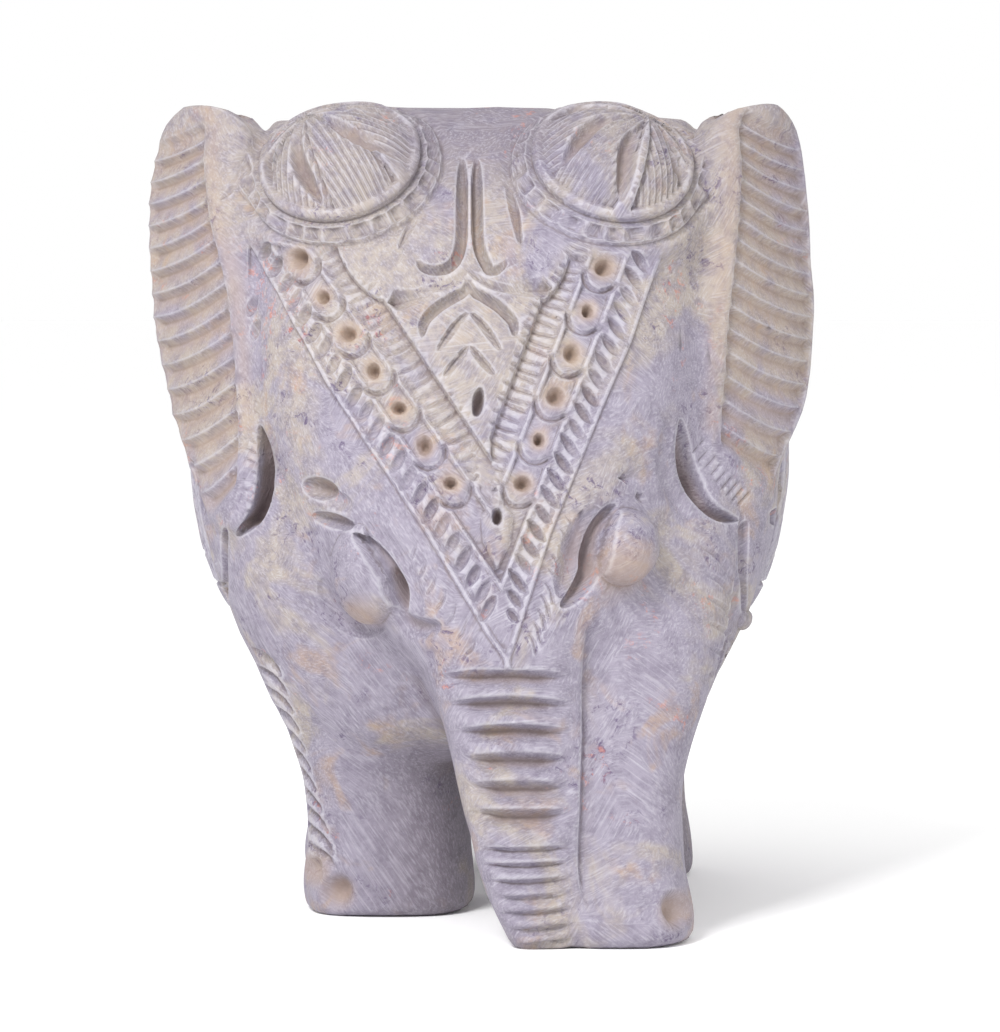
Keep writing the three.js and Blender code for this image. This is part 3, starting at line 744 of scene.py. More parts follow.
def hanging_leaf(field):
    """The leaf inside the V: a stem between two grooves that hook outwards, creases and notches."""
    for side, drop, hook in ((-1, 0.8, 3.3), (1, 0.85, 1.9)):
        line = [
            (0.68, 71.2),
            (0.7, 67.2),
            (drop, 63.4),
            (drop + 0.7, 61.5),
            (drop + hook * 0.6, 60.9),
            (drop + hook, 61.1),
            (drop + hook + 0.7, 61.8),
        ]
        lean = -0.6 * side
        field.groove(beside_stem(side, line), 1.15, 1.15, 30, taper=0.3, power=0.8, steep=lean, pointed=0.8)
    field.groove([(-5.9, 67.9), (-7.0, 65.6), (-8.4, 62.8)], 0.9, 0.7, taper=0.6, steep=-0.5, pointed=0.9)
    field.groove([(1.4, 69.8), (2.2, 66.4), (2.8, 63.2)], 1.0, 0.8, taper=0.6, steep=0.5, pointed=0.9)
    field.groove([(-10.9, 69.2), (-12.6, 66.6), (-13.3, 64.6)], 0.9, 0.5, taper=0.4, pointed=0.9)
    field.wedge((-9.0, 58.1), (-4.9, 58.8), 1.1, 1.3)
    field.wedge((5.3, 59.4), (1.3, 59.0), 1.1, 1.2)


def ogee_leaf(field):
    """The small pointed leaf below: a bracket above it, its outline, its veins and a drop."""
    for side, reach in ((-1, 1.0), (1, 0.97)):
        tip = -0.15 * side
        bracket = [(tip, 60.8), (1.9, 59.6), (4.4 * reach, 59.0), (5.9 * reach, 58.6)]
        field.groove(beside_stem(side, bracket), 0.9, 0.4, 20, taper=0.5, power=1.3, pointed=0.8)
        arch = [
            (tip, 60.0),
            (0.4, 59.0),
            (1.6, 58.3),
            (3.0 * reach, 57.4),
            (4.1 * reach, 56.2),
            (4.3 * reach, 54.8),
        ]
        lean = -0.55 * side
        field.groove(beside_stem(side, arch), 1.1, 1.0, 30, taper=0.35, power=0.8, steep=lean, pointed=0.85)
        for turn, z in enumerate((57.0, 54.0)):
            long = 2.9 - turn * 0.6
            vein = [(0.1, z), (long * 0.45, z - 1.25), (long, z - 3.5 + turn * 0.8)]
            field.groove(beside_stem(side, vein), 0.85, 0.6, taper=0.5, steep=0.5 * side, pointed=0.8)
    field.oval(LEAF_STEM + 0.8, 48.9, 1.35, 0.55, 0.15, 1.6, 0.6)


# ---------------------------------------------------------------- cheeks, chest and legs


def tusks(field):
    """Two short tusk stubs, a leaf and an egg, each with a deep gouge on its inner side."""
    field.bulge(-11.5, 33.0, 4.8, 2.9, -0.12, 1.6, 0.6)
    field.bulge(12.1, 35.7, 3.5, 2.8, 0.1, 2.7, 0.5)
    for u, v, reach in ((-11.2, 29.8, 2.4), (11.6, 33.6, 3.2)):
        index, du, dv = field.near(u, v, reach)
        field.tint(index, np.hypot(du, dv), 0.8, 0.8, reach)

    left = smoothed([(-12.0, 37.0), (-10.4, 35.6), (-9.0, 33.6), (-8.2, 31.4), (-7.9, 29.4)], 30)
    field.stroke(left, 1.6, 1.3, taper=0.7, power=1.1, pointed=0.95)
    field.stroke(left[12:], 2.0, 2.6, taper=0.7, power=1.0, steep=-0.3, pointed=0.95)
    right = [(11.4, 39.6), (9.9, 37.8), (9.2, 35.6), (9.0, 33.6), (7.9, 31.8), (6.4, 30.4)]
    field.groove(right, 2.2, 2.2, 30, taper=0.6, power=1.1, pointed=0.9)


def tusk_banks(field):
    """Wide shallow hollows that let the tusk stubs stand out from the cheeks and the trunk."""
    beside_left = [(-11.2, 37.9), (-8.6, 35.4), (-6.9, 32.2), (-6.2, 29.4)]
    field.groove(beside_left, 2.4, 0.5, 20, taper=0.6, power=1.6, pointed=0.9)
    pool = [(-8.6, 30.4), (-7.6, 28.8), (-6.0, 28.4), (-4.4, 28.9)]
    field.groove(pool, 2.8, 1.2, 16, taper=0.6, power=2.0, pointed=0.9)
    under_left = [(-15.6, 32.6), (-14.4, 29.8), (-12.0, 28.0), (-9.6, 28.3)]
    field.groove(under_left, 2.4, 0.8, 20, taper=0.5, power=1.6, steep=-0.3, pointed=0.9)
    beside_right = [(9.8, 39.4), (8.3, 37.0), (7.4, 34.2), (6.4, 31.2)]
    field.groove(beside_right, 5.0, 1.4, 24, taper=0.6, power=3.0, pointed=0.9)


def trunk_edge(field):
    """The step where the trunk's flat front ends beside the forward foreleg."""
    edge = [(9.7, 28.5), (9.9, 20), (9.6, 12), (9.2, 4)]
    field.groove(edge, 3.2, 0.75, 20, taper=0.25, power=1.3, steep=-0.7)


def eyes(field):
    """Two lens-shaped scoops over one tusk, and shallow wedges over the other."""
    field.oval(-15.5, 40.9, 1.75, 1.05, 1.8, 1.5, 0.7)
    field.oval(-13.9, 39.9, 1.7, 0.9, 1.95, 0.6, 1.0)
    field.oval(-14.3, 38.0, 2.1, 0.7, 1.8, 1.2, 0.7)
    field.wedge((12.2, 42.0), (17.0, 42.6), 0.9, 0.6)
    field.wedge((13.6, 40.5), (14.6, 38.6), 0.5, 0.6)


def lobe_gaps(field):
    """The deep crescents that part the lobes of the ears from the cheeks."""
    left = [(-21.4, 46.6), (-20.8, 43.6), (-20.9, 40.6), (-21.7, 38.2), (-23.6, 36.2)]
    field.groove(left, 1.7, 3.0, 24, taper=0.5, power=0.8, steep=0.3, pointed=0.95)
    right = [(17.6, 47.2), (18.1, 43.4), (19.2, 40.4), (20.9, 38.5), (23.2, 37.7)]
    field.groove(right, 1.8, 2.7, 24, taper=0.6, power=0.9, steep=-0.3, pointed=0.95)
    slope = [(16.4, 47.0), (16.6, 43.4), (17.4, 40.2), (18.8, 37.8)]
    field.groove(slope, 3.2, 0.7, 24, taper=0.6, power=1.6, steep=-0.3, pointed=0.9)


def feathers(field):
    """Nested curved cuts on the elephant's left shoulder, under the ear."""
    for turn in range(7):
        z = 35.5 - turn * 2.3
        x = 19.3 + 0.35 * turn * (1 - turn / 9)
        field.groove([(x, z), (x + 1.9, z - 1.2), (x + 3.2, z - 3.4)], 0.6, 0.28, taper=0.6)
    field.groove([(23.6, 38.5), (23.2, 34), (22.4, 28), (20.8, 22.5)], 0.8, 0.7, 20, taper=0.3)


def straps(field):
    """The bands that hang below the ears: a groove beside each, rings near the foot, a knob."""
    field.groove([(-24.7, 37.0), (-24.9, 33), (-25.0, 28.0)], 0.7, 0.9, 12, taper=0.12, power=0.7)
    for z in (31.4, 30.2, 29.0):
        field.stroke([(-26.6, z + 0.1), (-25.9, z - 0.1), (-25.1, z)], 0.5, 0.6)
    field.groove([(-28.6, 44.0), (-27.9, 40.4), (-26.4, 36.4), (-25.9, 33.4)], 0.9, 1.0, 16, taper=0.4)
    field.groove([(23.9, 37.6), (23.7, 33), (23.9, 28.8)], 0.7, 0.8, 12, taper=0.12, power=0.7)
    field.bulge(24.3, 27.8, 1.0, 1.0, 0, 0.7)
    field.oval(27.4, 37.6, 0.9, 1.3, 0.2, 1.2, 0.8)


def lobe_rims(field):
    """Fine hatching across the rims round the lobes."""
    for turn in range(13):
        z = 49.0 - turn * 0.95
        field.stroke([(-23.0, z + 0.3), (-22.2, z), (-21.4, z - 0.5)], 0.32, 0.16)
    for turn in range(9):
        t = turn / 8
        x, z = 18.9 + 4.2 * t, 44.5 - 6.2 * t + 1.2 * t * t
        field.stroke([(x - 0.2, z - 0.6), (x + 0.5, z + 0.1), (x + 1.2, z + 0.9)], 0.34, 0.18)


def ear_hollows(field):
    """Hatching in the hollow beside the ear's rim, and two nicks lower down the rim."""
    for turn in range(8):
        x, z = -25.3 + 0.45 * turn, 67.4 + 0.75 * turn
        field.groove([(x, z), (x + 1.2, z + 0.9), (x + 2.0, z + 2.4)], 0.45, 0.3, 10, taper=0.5)
    for z in (57.6, 55.4):
        field.oval(-22.1 + (57.6 - z) * 0.12, z, 1.1, 0.5, 0.3, 0.6, 0.8)


def leg_notches(field):
    """Wedge cuts down the outer edge of the right foreleg."""
    for turn in range(11):
        z = 24.6 - turn * 1.9
        x = -20.9 + turn * 0.52
        path = [(x - 1.6, z + 0.9), (x, z), (x + 1.3, z - 1.5)]
        field.groove(path, 0.95, 0.6, 10, taper=0.6, power=1.4)


def toenails(field):
    """Scooped nails at the outer corners of the forefeet."""
    for u, v, long, wide, lean, deep in (
        (-14.4, 2.3, 1.9, 1.6, 0.3, 1.6),
        (-16.8, 4.2, 1.4, 0.8, 0.2, 1.0),
        (16.8, 3.3, 1.9, 1.2, -0.5, 1.4),
    ):
        field.oval(u, v, long, wide, lean, deep)
        index, du, dv = field.near(u, v, 3.5)
        field.tint(index, np.hypot(du, dv), 0.7, 0.8, 2.2)


# ---------------------------------------------------------------- flanks and rump

BARREL_MIDDLE = 45.0  # height of the barrel's middle
BARREL_ROUND = 27.6  # its radius above that
BLANKET_TOP = BARREL_MIDDLE + BARREL_ROUND * math.pi / 2
BLANKET_LOW = 29.0
BLANKET_FRONT = 0.5
BLANKET_BACK = 33.0
BLANKET_SCALLOPS = 7
BLANKET_BORDER = (1.3, 2.8, 4.3)  # from the edge in: a line, the middle of the beads, a line
HEM_PITCH = 2.26  # between beads along the hem
SIDE_PITCH = 2.2  # between beads up the sides


def blanket(field):
    """A saddle blanket in low relief: a scalloped hem, and a beaded border between two lines."""
    u, v = field.u[field.index], field.v[field.index]
    wave = (u - BLANKET_FRONT) / (BLANKET_BACK - BLANKET_FRONT) * BLANKET_SCALLOPS
    hem = BLANKET_LOW - 1.3 * np.sqrt(np.clip(1 - (2 * (wave % 1) - 1) ** 2, 0, 1))
    inside = np.minimum(np.minimum(u - BLANKET_FRONT, BLANKET_BACK - u), v - hem)
    ground = 0.5 * (1 - ease(inside, -0.1, 0.25)) * ease(inside, -3.0, -0.6)
    field.depth[field.index] = np.maximum(field.depth[field.index], ground)
    first, middle, last = BLANKET_BORDER
    for line in (first, last):
        low, front, back = BLANKET_LOW + line, BLANKET_FRONT + line, BLANKET_BACK - line
        path = [(front, BLANKET_TOP), (front, low), (back, low), (back, BLANKET_TOP)]
        field.stroke(path, 0.55, 0.45, taper=0.02)
    for u0 in np.arange(BLANKET_FRONT + middle, BLANKET_BACK - middle + 0.1, HEM_PITCH):
        field.oval(u0, BLANKET_LOW + middle, 0.95, 0.55, 0.5, 0.65, 0.8)
    for v0 in np.arange(BLANKET_LOW + middle + SIDE_PITCH, BLANKET_TOP, SIDE_PITCH):
        field.oval(BLANKET_FRONT + middle, v0, 0.95, 0.55, 0.9, 0.65, 0.8)
        field.oval(BLANKET_BACK - middle, v0, 0.95, 0.55, -0.9, 0.65, 0.8)


def rosette(field, u, v, radius, count):
    """A flower of scooped petals inside a ring."""
    round_it = np.linspace(0, 2 * math.pi, 60)
    ring = [(u + radius * math.cos(a), v + radius * math.sin(a)) for a in round_it]
    field.stroke(ring, 0.6, 0.55, taper=0.001)
    for petal in range(count):
        angle = petal / count * 2 * math.pi
        place = u + math.sin(angle) * radius * 0.6, v + math.cos(angle) * radius * 0.6
        field.oval(*place, radius * 0.32, radius * 0.17, angle, 0.8, 0.7)
    field.oval(u, v, 0.75, 0.75, 0, 0.8, 0.6)


def carve_flank(points, normals, side):
    """One side of the blanket, up the flank and over to the middle of the back."""
    x, y, z = points.T
    outward = (normals[:, 0] * side > 0.35) & (x * side > 12)
    upward = (normals[:, 2] > 0.3) & (x * side > 0) & (z > 60)
    where = (outward | upward) & (y > -4) & (y < 38) & (z > 24)
    turn = np.arctan2(z - BARREL_MIDDLE, np.abs(x))
    field = Field(y, np.where(z > BARREL_MIDDLE, BARREL_MIDDLE + BARREL_ROUND * turn, z), where)
    blanket(field)
    rosette(field, 16.7, 47.5, 6.2, 8)
    return field.depth


def carve_rump(points, normals):
    """Chevrons down the tail, and hatching on its tuft."""
    x, y, z = points.T
    field = Field(x, z, (normals[:, 1] > 0.2) & (y > 30) & (z > 6) & (z < 60))
    path = smoothed(TAIL, 40)
    tuft_top, tuft_foot = path[30], path[37]
    for middle, _, height in path[4:28:2]:
        chevron = [(middle - 1.7, height + 0.3), (middle, height - 0.3), (middle + 1.7, height + 0.3)]
        field.stroke(chevron, 0.6, 0.4)
    for hair in range(-2, 3):
        lean = hair * 0.55
        ends = [(tuft_top[0] + lean, tuft_top[2]), (tuft_foot[0] + lean * 1.3, tuft_foot[2])]
        field.stroke([ends[0], np.mean(ends, axis=0), ends[1]], 0.5, 0.45)
    return field.depth


# ---------------------------------------------------------------- the fields, one for each surface


FOREHEAD = (v_bands, scoops, beads, apex_bead, fringe, under_hatch, hanging_leaf, ogee_leaf)
BELOW_AND_BESIDE = (
    tusks,
    tusk_banks,
    trunk_edge,
    eyes,
    lobe_gaps,
    feathers,
    straps,
    lobe_rims,
    ear_hollows,
    leg_notches,
    toenails,
)


def carve_front(points, normals):
    """Depths of the carving on the forehead, cheeks and forelegs, and how warm the stone is there."""
    x, y, z = points.T
    facing = (normals[:, 1] < -0.15) & (y < -14) & (z > 24) & (np.abs(x - EAR_CENTRE) < 21.5)
    off_domes = dome_share(points) > 1.0
    field = Field(x, z, facing & off_domes)
    for cut in FOREHEAD:
        cut(field)
    relief = Field(x, z, (normals[:, 1] < -0.05) & (y < -6))
    relief.warm = field.warm
    for cut in BELOW_AND_BESIDE:
        cut(relief)
    deeper = np.maximum(field.depth, relief.depth)
    return np.where(relief.depth < 0, field.depth + relief.depth, deeper), relief.warm


def dome_place(points, side):
    """Tilt from a dome's axis and turn about it, in degrees, and the distance from its centre."""
    axis, across, upward = frame_about(DOME_AXIS, side)
    rel = points - dome_centre(side)
    gap = np.linalg.norm(rel, axis=1)
    tilt = np.degrees(np.arccos(np.clip(rel @ axis / gap, -1, 1)))
    turn = np.degrees(np.arctan2(rel @ upward, rel @ across))
    return tilt, turn, gap


def dome_share(points):
    """0 at the middle of the nearer dome, 1 at its outermost ring, more outside."""
    share = np.full(len(points), 9.0)
    for side in (-1, 1):
        tilt, _, gap = dome_place(points, side)
        on = np.abs(gap - DOME_RADIUS) < 2.5
        share = np.where(on, np.minimum(share, tilt / DOME_EDGE), share)
    return share


def petals(points, where, side):
    """Depths of one rosette: broad combed petals parted by crescents that widen outwards."""
    axis, across, upward = frame_about(ROSETTE_AXIS, side)
    rel = (points - dome_centre(side)) / DOME_RADIUS
    turn = np.arctan2(rel @ upward, rel @ (-side * across))
    run = DOME_RADIUS * np.arccos(np.clip(rel @ axis / np.linalg.norm(rel, axis=1), -1, 1))
    field = Field(run * np.cos(turn), run * np.sin(turn), where)
    u, v, angle = field.u[where], field.v[where], turn[where]
    pitch = 2 * math.pi / PETALS
    comb = 0.78  # millimetres between the strokes of the comb
    gaps = [
        math.radians(FIRST_GAP) + petal * pitch + 0.08 * math.sin(petal * 2.3 + side)
        for petal in range(PETALS)
    ]
    for petal, first in enumerate(gaps):
        middle = first + pitch / 2
        off = np.abs(np.angle(np.exp(1j * (angle - middle)))) / (pitch / 2)
        beside = u * math.sin(middle) - v * math.cos(middle)
        lines = 0.5 + 0.5 * np.cos(beside * 2 * math.pi / comb + petal)
        dished = 0.2 + 0.26 * lines + 0.5 * np.clip(off, 0, 1) ** 5
        field.depth[where] = np.where(off <= 1, dished, field.depth[where])
    for first in gaps:
        out = np.array([math.cos(first), math.sin(first)])
        beside = side * np.array([-out[1], out[0]])
        parting = [out * 1.0, out * 3.4 + beside * 0.5, out * 6.5 + beside * 0.9, out * 9.6 + beside * 0.2]
        field.groove(parting, 0.9, 0.9, taper=0.6, pointed=0.8)
        crescent = [out * 3.4 + beside * 0.5, out * 7.0 + beside * 1.0, out * 12.5 - beside * 0.3]
        field.groove(crescent, 2.3, 1.6, taper=0.6, power=0.8, steep=0.4 * side, pointed=0.95)
    return field.depth


def carve_dome(points, normals, side):
    """A ringed rosette on one dome: nicked band, groove, lip and combed petals."""
    tilt, turn, gap = dome_place(points, side)
    where = (np.abs(gap - DOME_RADIUS) < 1.6) & (tilt < 68) & (normals[:, 1] < 0.6)
    run = np.radians(tilt) * DOME_RADIUS
    field = Field(run * np.cos(np.radians(turn)), run * np.sin(np.radians(turn)), where)
    t, a = tilt[where], turn[where]
    outer_groove = 0.55 * np.exp(-(((t - 62.3) / 2.0) ** 2))
    nick = (0.5 + 0.5 * np.cos(np.radians(a * 26) + 0.8 * np.sin(np.radians(a * 7)))) ** 0.7
    nicked_band = mix(0.05, 0.6, nick) * ease(t, 52.2, 53.6) * (1 - ease(t, 59.0, 60.8))
    inner_groove = 0.7 * np.exp(-(((t - 50.3) / 1.7) ** 2))
    rosette_cuts = (1 - ease(t, 42.0, 44.5)) * petals(points, where, side)[where]
    field.depth[where] = np.maximum.reduce([outer_groove, nicked_band, inner_groove, rosette_cuts])
    rim = 1 - ease(np.abs(gap - DOME_RADIUS), 0.7, 1.5)
    return field.depth * rim


# The trunk's rings, broad ones above and fine ones below: first level, how many, their pitch and depth.
TRUNK_RINGS = ((25.2, 6, 2.5, 1.55), (9.3, 7, 1.4, 0.85))


def carve_trunk(points, normals):
    """Lens-shaped scoops across the front of the trunk that leave rounded rings between them."""
    x, y, z = points.T
    rows = smoothed(TRUNK, 60)
    middle = np.interp(z, rows[:, 0], rows[:, 1])
    half = np.interp(z, rows[:, 0], rows[:, 3])
    share = (x - middle) / half
    on = (normals[:, 1] < -0.3) & (y < -33) & (np.abs(share) < 1.05) & (z < 27.5)
    depth = np.zeros(len(points))
    for first, count, pitch, deep in TRUNK_RINGS:
        for ring in range(count):
            level = first - ring * pitch
            arch = 0.9 * ease(level, 8, 24)
            line = level - arch * share ** 2 * 1.2 + 0.3 * (1 - ease(level, 4, 14)) * share
            room = pitch * (1.0 + 0.1 * math.sin(3 * level)) * (0.98 - 0.6 * np.abs(share) ** 2.4)
            below = (line - z) / room
            fall = ease(below, 0, 0.34) * (1 - ease(below, 0.26, 1.0)) ** 1.1
            reach = (1 - ease(np.abs(share + 0.05 * math.sin(5 * level)), 0.35, 0.9)) ** 0.7
            depth = np.where(on, np.maximum(depth, deep * fall * reach), depth)
    return depth


# Each ear's flutes: heights of the first and the last, how far short of the ear's edge they stop, their
# depth, how much the plain rim widens upwards, and between what heights.
EAR_FLUTES = {-1: (73.4, 37.4, -1, 0.85, 2.5, 58, 74), 1: (74.2, 41.0, 1.2, 0.72, 0.8, 62, 75)}
# The arch that each ear's top is rounded to: x and z of its middle, its rise, and its reach outwards
# and towards the head.
EAR_ARCH = (27.3, 71.5, 5.1, 4.6, 6.5)


def round_top(points, side):
    """How much is taken off one ear's top to round it."""
    x, _, z = points.T
    middle, foot, rise, outwards, inwards = EAR_ARCH
    apart = side * (x - EAR_CENTRE) - middle
    arch = np.hypot(apart / np.where(apart > 0, outwards, inwards), (z - foot) / rise)
    return np.clip((arch - 1) * 4.8, 0, 1.4) * (z > foot) * ease(apart, -8.3, -5.3)


def carve_ear(points, normals, side):
    """Depths of the flutes across the front of one ear, and how warm the stone is there."""
    z = points[:, 2]
    top, low, short, deep, widening, widens_from, widens_to = EAR_FLUTES[side]
    rim, edge = ear_span(side, z)
    along = edge - rim
    width = np.linalg.norm(along, axis=1)
    rel = points[:, :2] - rim
    share = np.einsum("ij,ij->i", rel, along) / width ** 2
    out = share * width
    outward = np.stack([along[:, 1] * side, -along[:, 0] * side], axis=1) / width[:, None]
    front = np.einsum("ij,ij->i", normals[:, :2], outward) > 0.15
    height = np.einsum("ij,ij->i", rel, outward)
    on = front & (share > -0.12) & (share < 1.1) & (np.abs(height) < 3.5) & (z > 38)
    # Each flute starts level at the ear's edge and sweeps up towards the rim.
    flute_z = z - 4.2 * np.clip(1 - share, 0, 1) ** 2
    # The pitch grows downwards, so the flutes are counted on a stretched height.
    run = (top - flute_z) / (top - low)
    phase = FLUTES * (1.12 * run - 0.12 * run ** 2) % 1
    bowl = np.clip(phase / 0.3, 0, 1) ** 0.7 * np.clip((1 - phase) / 0.7, 0, 1) ** 0.8
    start = 1.6 + widening * ease(z, widens_from, widens_to)
    panel = ease(out, start - 0.1, start + 0.5) * ease(width - short - out, 0, 0.5)
    panel = panel * ease(run, -0.02, 0.05) * (1 - ease(run, 0.96, 1.0))
    edge_fade = mix(0.05, 1.0, ease(width - out, 0.0, 2.0))
    depth = np.where(on, panel * (0.22 + deep * bowl) * edge_fade, 0)
    rim_glow = 0.55 * np.exp(-(((out - start + 0.9) / 0.8) ** 2)) * (z > 46)
    stain = np.where(on, np.maximum(0.6 * panel * bowl, rim_glow * (1 - panel)), 0)
    return np.maximum(depth, round_top(points, side)), stain


def unevenness(points):
    """The slight waver of a hand-filed surface, in millimetres."""
    waves = (
        (0.31, 0.22, 0.17),
        (-0.19, 0.35, 0.41),
        (0.52, -0.3, -0.24),
        (0.11, 0.6, -0.5),
        (-0.7, 0.1, 0.62),
    )
    total = np.zeros(len(points))
    for number, wave in enumerate(waves):
        total += np.sin(points @ np.array(wave) * 1.6 + number * 1.9) / (1 + number * 0.35)
    return total * 0.05


def carve(points, faces):
    """The fused body with every surface's carving cut in, how deep each cut is, and how warm."""
    edges, _ = edges_of(faces)
    normals = normals_of(points, faces)
    for _ in range(12):
        normals = neighbour_mean(normals, edges)
    normals /= np.linalg.norm(normals, axis=1, keepdims=True)
    cuts = [carve_trunk(points, normals), carve_rump(points, normals)]
    depth, warm = carve_front(points, normals)
    for side in (-1, 1):
        cuts.append(carve_dome(points, normals, side))
        cuts.append(carve_flank(points, normals, side))
        flutes, stain = carve_ear(points, normals, side)
        cuts.append(flutes)
        warm = np.maximum(warm, stain)
    for cut in cuts:
        depth = np.where(cut > 0, np.maximum(depth, cut), depth)
    return points - normals * (depth + unevenness(points))[:, None], depth, warm


def edge_reach(middle):
    """The longest edge allowed at each place: fine on the carved front, coarse elsewhere."""
    x, y, z = middle.T
    front = (y < -10) & ((z > 24) | ((y < -33) & (np.abs(x - 3) < 9)))
    flank = ((np.abs(x) > 20) | (z > 60)) & (y > -2) & (y < 36) & (z > 26)
    return np.where(front, FRONT_EDGE, np.where(flank, SIDE_EDGE, 9.0))


BUSY_STEPS = (0.02, 0.12, 0.3)  # how much sharp detail lies about a point
FREEDOM = (1.0, 0.7, 0.45, 0.3)  # how freely such points are thinned out


def reduced(points, faces, values):
    """The skin thinned to the wanted number of triangles, keeping each point's named values."""
    mesh = mesh_of("skin", points, faces)
    for name, data in values.items():
        mesh.attributes.new(name, "FLOAT", "POINT").data.foreach_set("value", data.astype(np.float32))
    piece = placed("skin", mesh)
    group = piece.vertex_groups.new(name="free")
    busy = np.digitize(values["busy"], BUSY_STEPS)
    for level, freedom in enumerate(FREEDOM):
        group.add(np.flatnonzero(busy == level).tolist(), freedom, "REPLACE")
    thin = piece.modifiers.new("thin", "DECIMATE")
    thin.ratio = min(1.0, FACES / len(faces))
    thin.vertex_group = "free"
    thin.vertex_group_factor = 1.0
    return baked(piece)


def row_place(points):
    """The carver's millimetres as metres in the row's frame."""
    mount = next(m for m in frame["record"]["mounts"] if m["name"] == "sole_fore_left")
    shift_x = mount["pos_m"][0] * 1000 - LEFT_FORELEG[0][1]
    shift_y = mount["pos_m"][1] * 1000 - LEFT_FORELEG[0][2]
    return (points + [shift_x, shift_y, 0]) / 1000


CREST_FULL = 0.045  # how far a full crest stands above its surroundings


def blank():
    """The body before it is carved: its forms fused, melted together and smoothed."""
    points, faces = [], []
    for part_points, part_faces in forms():
        start = sum(len(p) for p in points)
        points.append(part_points)
        faces += [[start + k for k in face] for face in part_faces]
    points, faces = fused(np.concatenate(points), faces, FUSE)
    points = melted(points, faces, MELT_TURNS)
    points, faces = fused(points, faces, GRAIN)
    for _ in range(2):
        points, faces = split(points, faces, edge_reach)
    edges, _ = edges_of(faces)
    for _ in range(3):
        points = points + 0.5 * (neighbour_mean(points, edges) - points)
    return points, faces, edges


def crests(points, faces, edges):
    """How far each point stands above its surroundings, -1 to 1, and how much sharp detail they hold."""
    mean = points.copy()
    for _ in range(2):
        mean = neighbour_mean(mean, edges)
    crest = np.einsum("ij,ij->i", points - mean, normals_of(points, faces))
    crest = np.clip(crest / CREST_FULL, -1, 1)
    busy = np.abs(crest)[:, None]
    for _ in range(4):
        busy = neighbour_mean(busy, edges)
    return crest, busy[:, 0]


def elephant():
    """The finished stone skin."""
    points, faces, edges = blank()
    points, depth, warm = carve(points, faces)
    points[:, 2] = np.maximum(points[:, 2], 0)  # the soles stay flat
    crest, busy = crests(points, faces, edges)
    crest *= ease(points[:, 2], 4.0, 6.0)  # the soles' edges are no crests
    values = {"carved": depth, "crest": crest, "busy": busy, "warm": warm}
    mesh = reduced(row_place(points), faces, values)
    mesh.name = "elephant_stone"
    for polygon in mesh.polygons:
        polygon.use_smooth = True
    return placed("elephant_stone", mesh)


# ---------------------------------------------------------------- stone


class Nodes:
    """Short calls that add shader nodes to one material."""

    def __init__(self, tree):
        self.tree = tree
        texture = tree.nodes.new("ShaderNodeTexCoord")
        self.place = self.scaled(texture.outputs["Object"], 1000)

    def join(self, value, socket):
        """Links an output, or sets a constant on the socket itself."""
        if hasattr(value, "is_linked"):
            self.tree.links.new(value, socket)
        elif isinstance(value, tuple) and len(value) == 3 and len(socket.default_value) == 4:
            socket.default_value = (*value, 1)
        else:
            socket.default_value = value

    def scaled(self, vector, size):
        """The vector times one number or three."""
        node = self.tree.nodes.new("ShaderNodeVectorMath")
        node.operation = "MULTIPLY"
        self.join(vector, node.inputs[0])
        self.join(size if isinstance(size, tuple) else (size,) * 3, node.inputs[1])
        return node.outputs[0]

    def turned(self, vector, angles):
        """The vector turned by three angles in degrees."""
        node = self.tree.nodes.new("ShaderNodeVectorRotate")
        node.rotation_type = "EULER_XYZ"
        self.join(vector, node.inputs["Vector"])
        self.join(tuple(math.radians(a) for a in angles), node.inputs["Rotation"])
        return node.outputs[0]

    def noise(self, vector, scale, detail=3.0, rough=0.55, bend=0.0):
        """Fractal noise, 0 to 1."""
        node = self.tree.nodes.new("ShaderNodeTexNoise")
        self.join(vector, node.inputs["Vector"])
        self.join(float(scale), node.inputs["Scale"])
        self.join(float(detail), node.inputs["Detail"])
        self.join(rough, node.inputs["Roughness"])
        self.join(bend, node.inputs["Distortion"])
        return node.outputs[0]

    def window(self, value, low, high, bottom=0.0, top=1.0):
        """The value stretched so that low to high gives bottom to top, smoothly."""
        node = self.tree.nodes.new("ShaderNodeMapRange")
        node.interpolation_type = "SMOOTHSTEP"
        for number, socket in zip((value, low, high, bottom, top), node.inputs):
            self.join(number, socket)
        return node.outputs[0]

    def maths(self, operation, a, b):
        """One sum on two numbers."""
        node = self.tree.nodes.new("ShaderNodeMath")
        node.operation = operation
        self.join(a, node.inputs[0])
        self.join(b, node.inputs[1])
        return node.outputs[0]

    def times(self, a, b):
        """One number times another."""
        return self.maths("MULTIPLY", a, b)

    def blend(self, share, under, over):
        """The colour under, with a share of the colour over."""
        node = self.tree.nodes.new("ShaderNodeMix")
        node.data_type = "RGBA"
        self.join(share, node.inputs[0])
        self.join(under, node.inputs[6])
        self.join(over, node.inputs[7])
        return node.outputs[2]

    def attribute(self, name):
        """A number kept at each point of the mesh."""
        node = self.tree.nodes.new("ShaderNodeAttribute")
        node.attribute_name = name
        return node.outputs["Fac"]

    def axis(self, vector, name):
        """One coordinate of a vector."""
        node = self.tree.nodes.new("ShaderNodeSeparateXYZ")
        self.join(vector, node.inputs[0])
        return node.outputs[name]


LAVENDER = (0.238, 0.215, 0.274)
CREAM = (0.312, 0.27, 0.24)
HONEY = (0.36, 0.262, 0.19)
OCHRE = (0.33, 0.225, 0.15)
# Painted shade for the floors of the cuts.
SHADE = (0.25, 0.185, 0.16)
DUSK = (0.135, 0.115, 0.16)
PLUM = (0.07, 0.045, 0.105)
RUST = (0.45, 0.15, 0.09)
# Pale dust in the file marks, and also a painted highlight along the crests.
POWDER_AND_HIGHLIGHT = (0.56, 0.545, 0.60)
# Painted shade for the hollows, the deepest cuts and the low ground between the legs.
PAINTED_SHADE = (0.10, 0.072, 0.075)

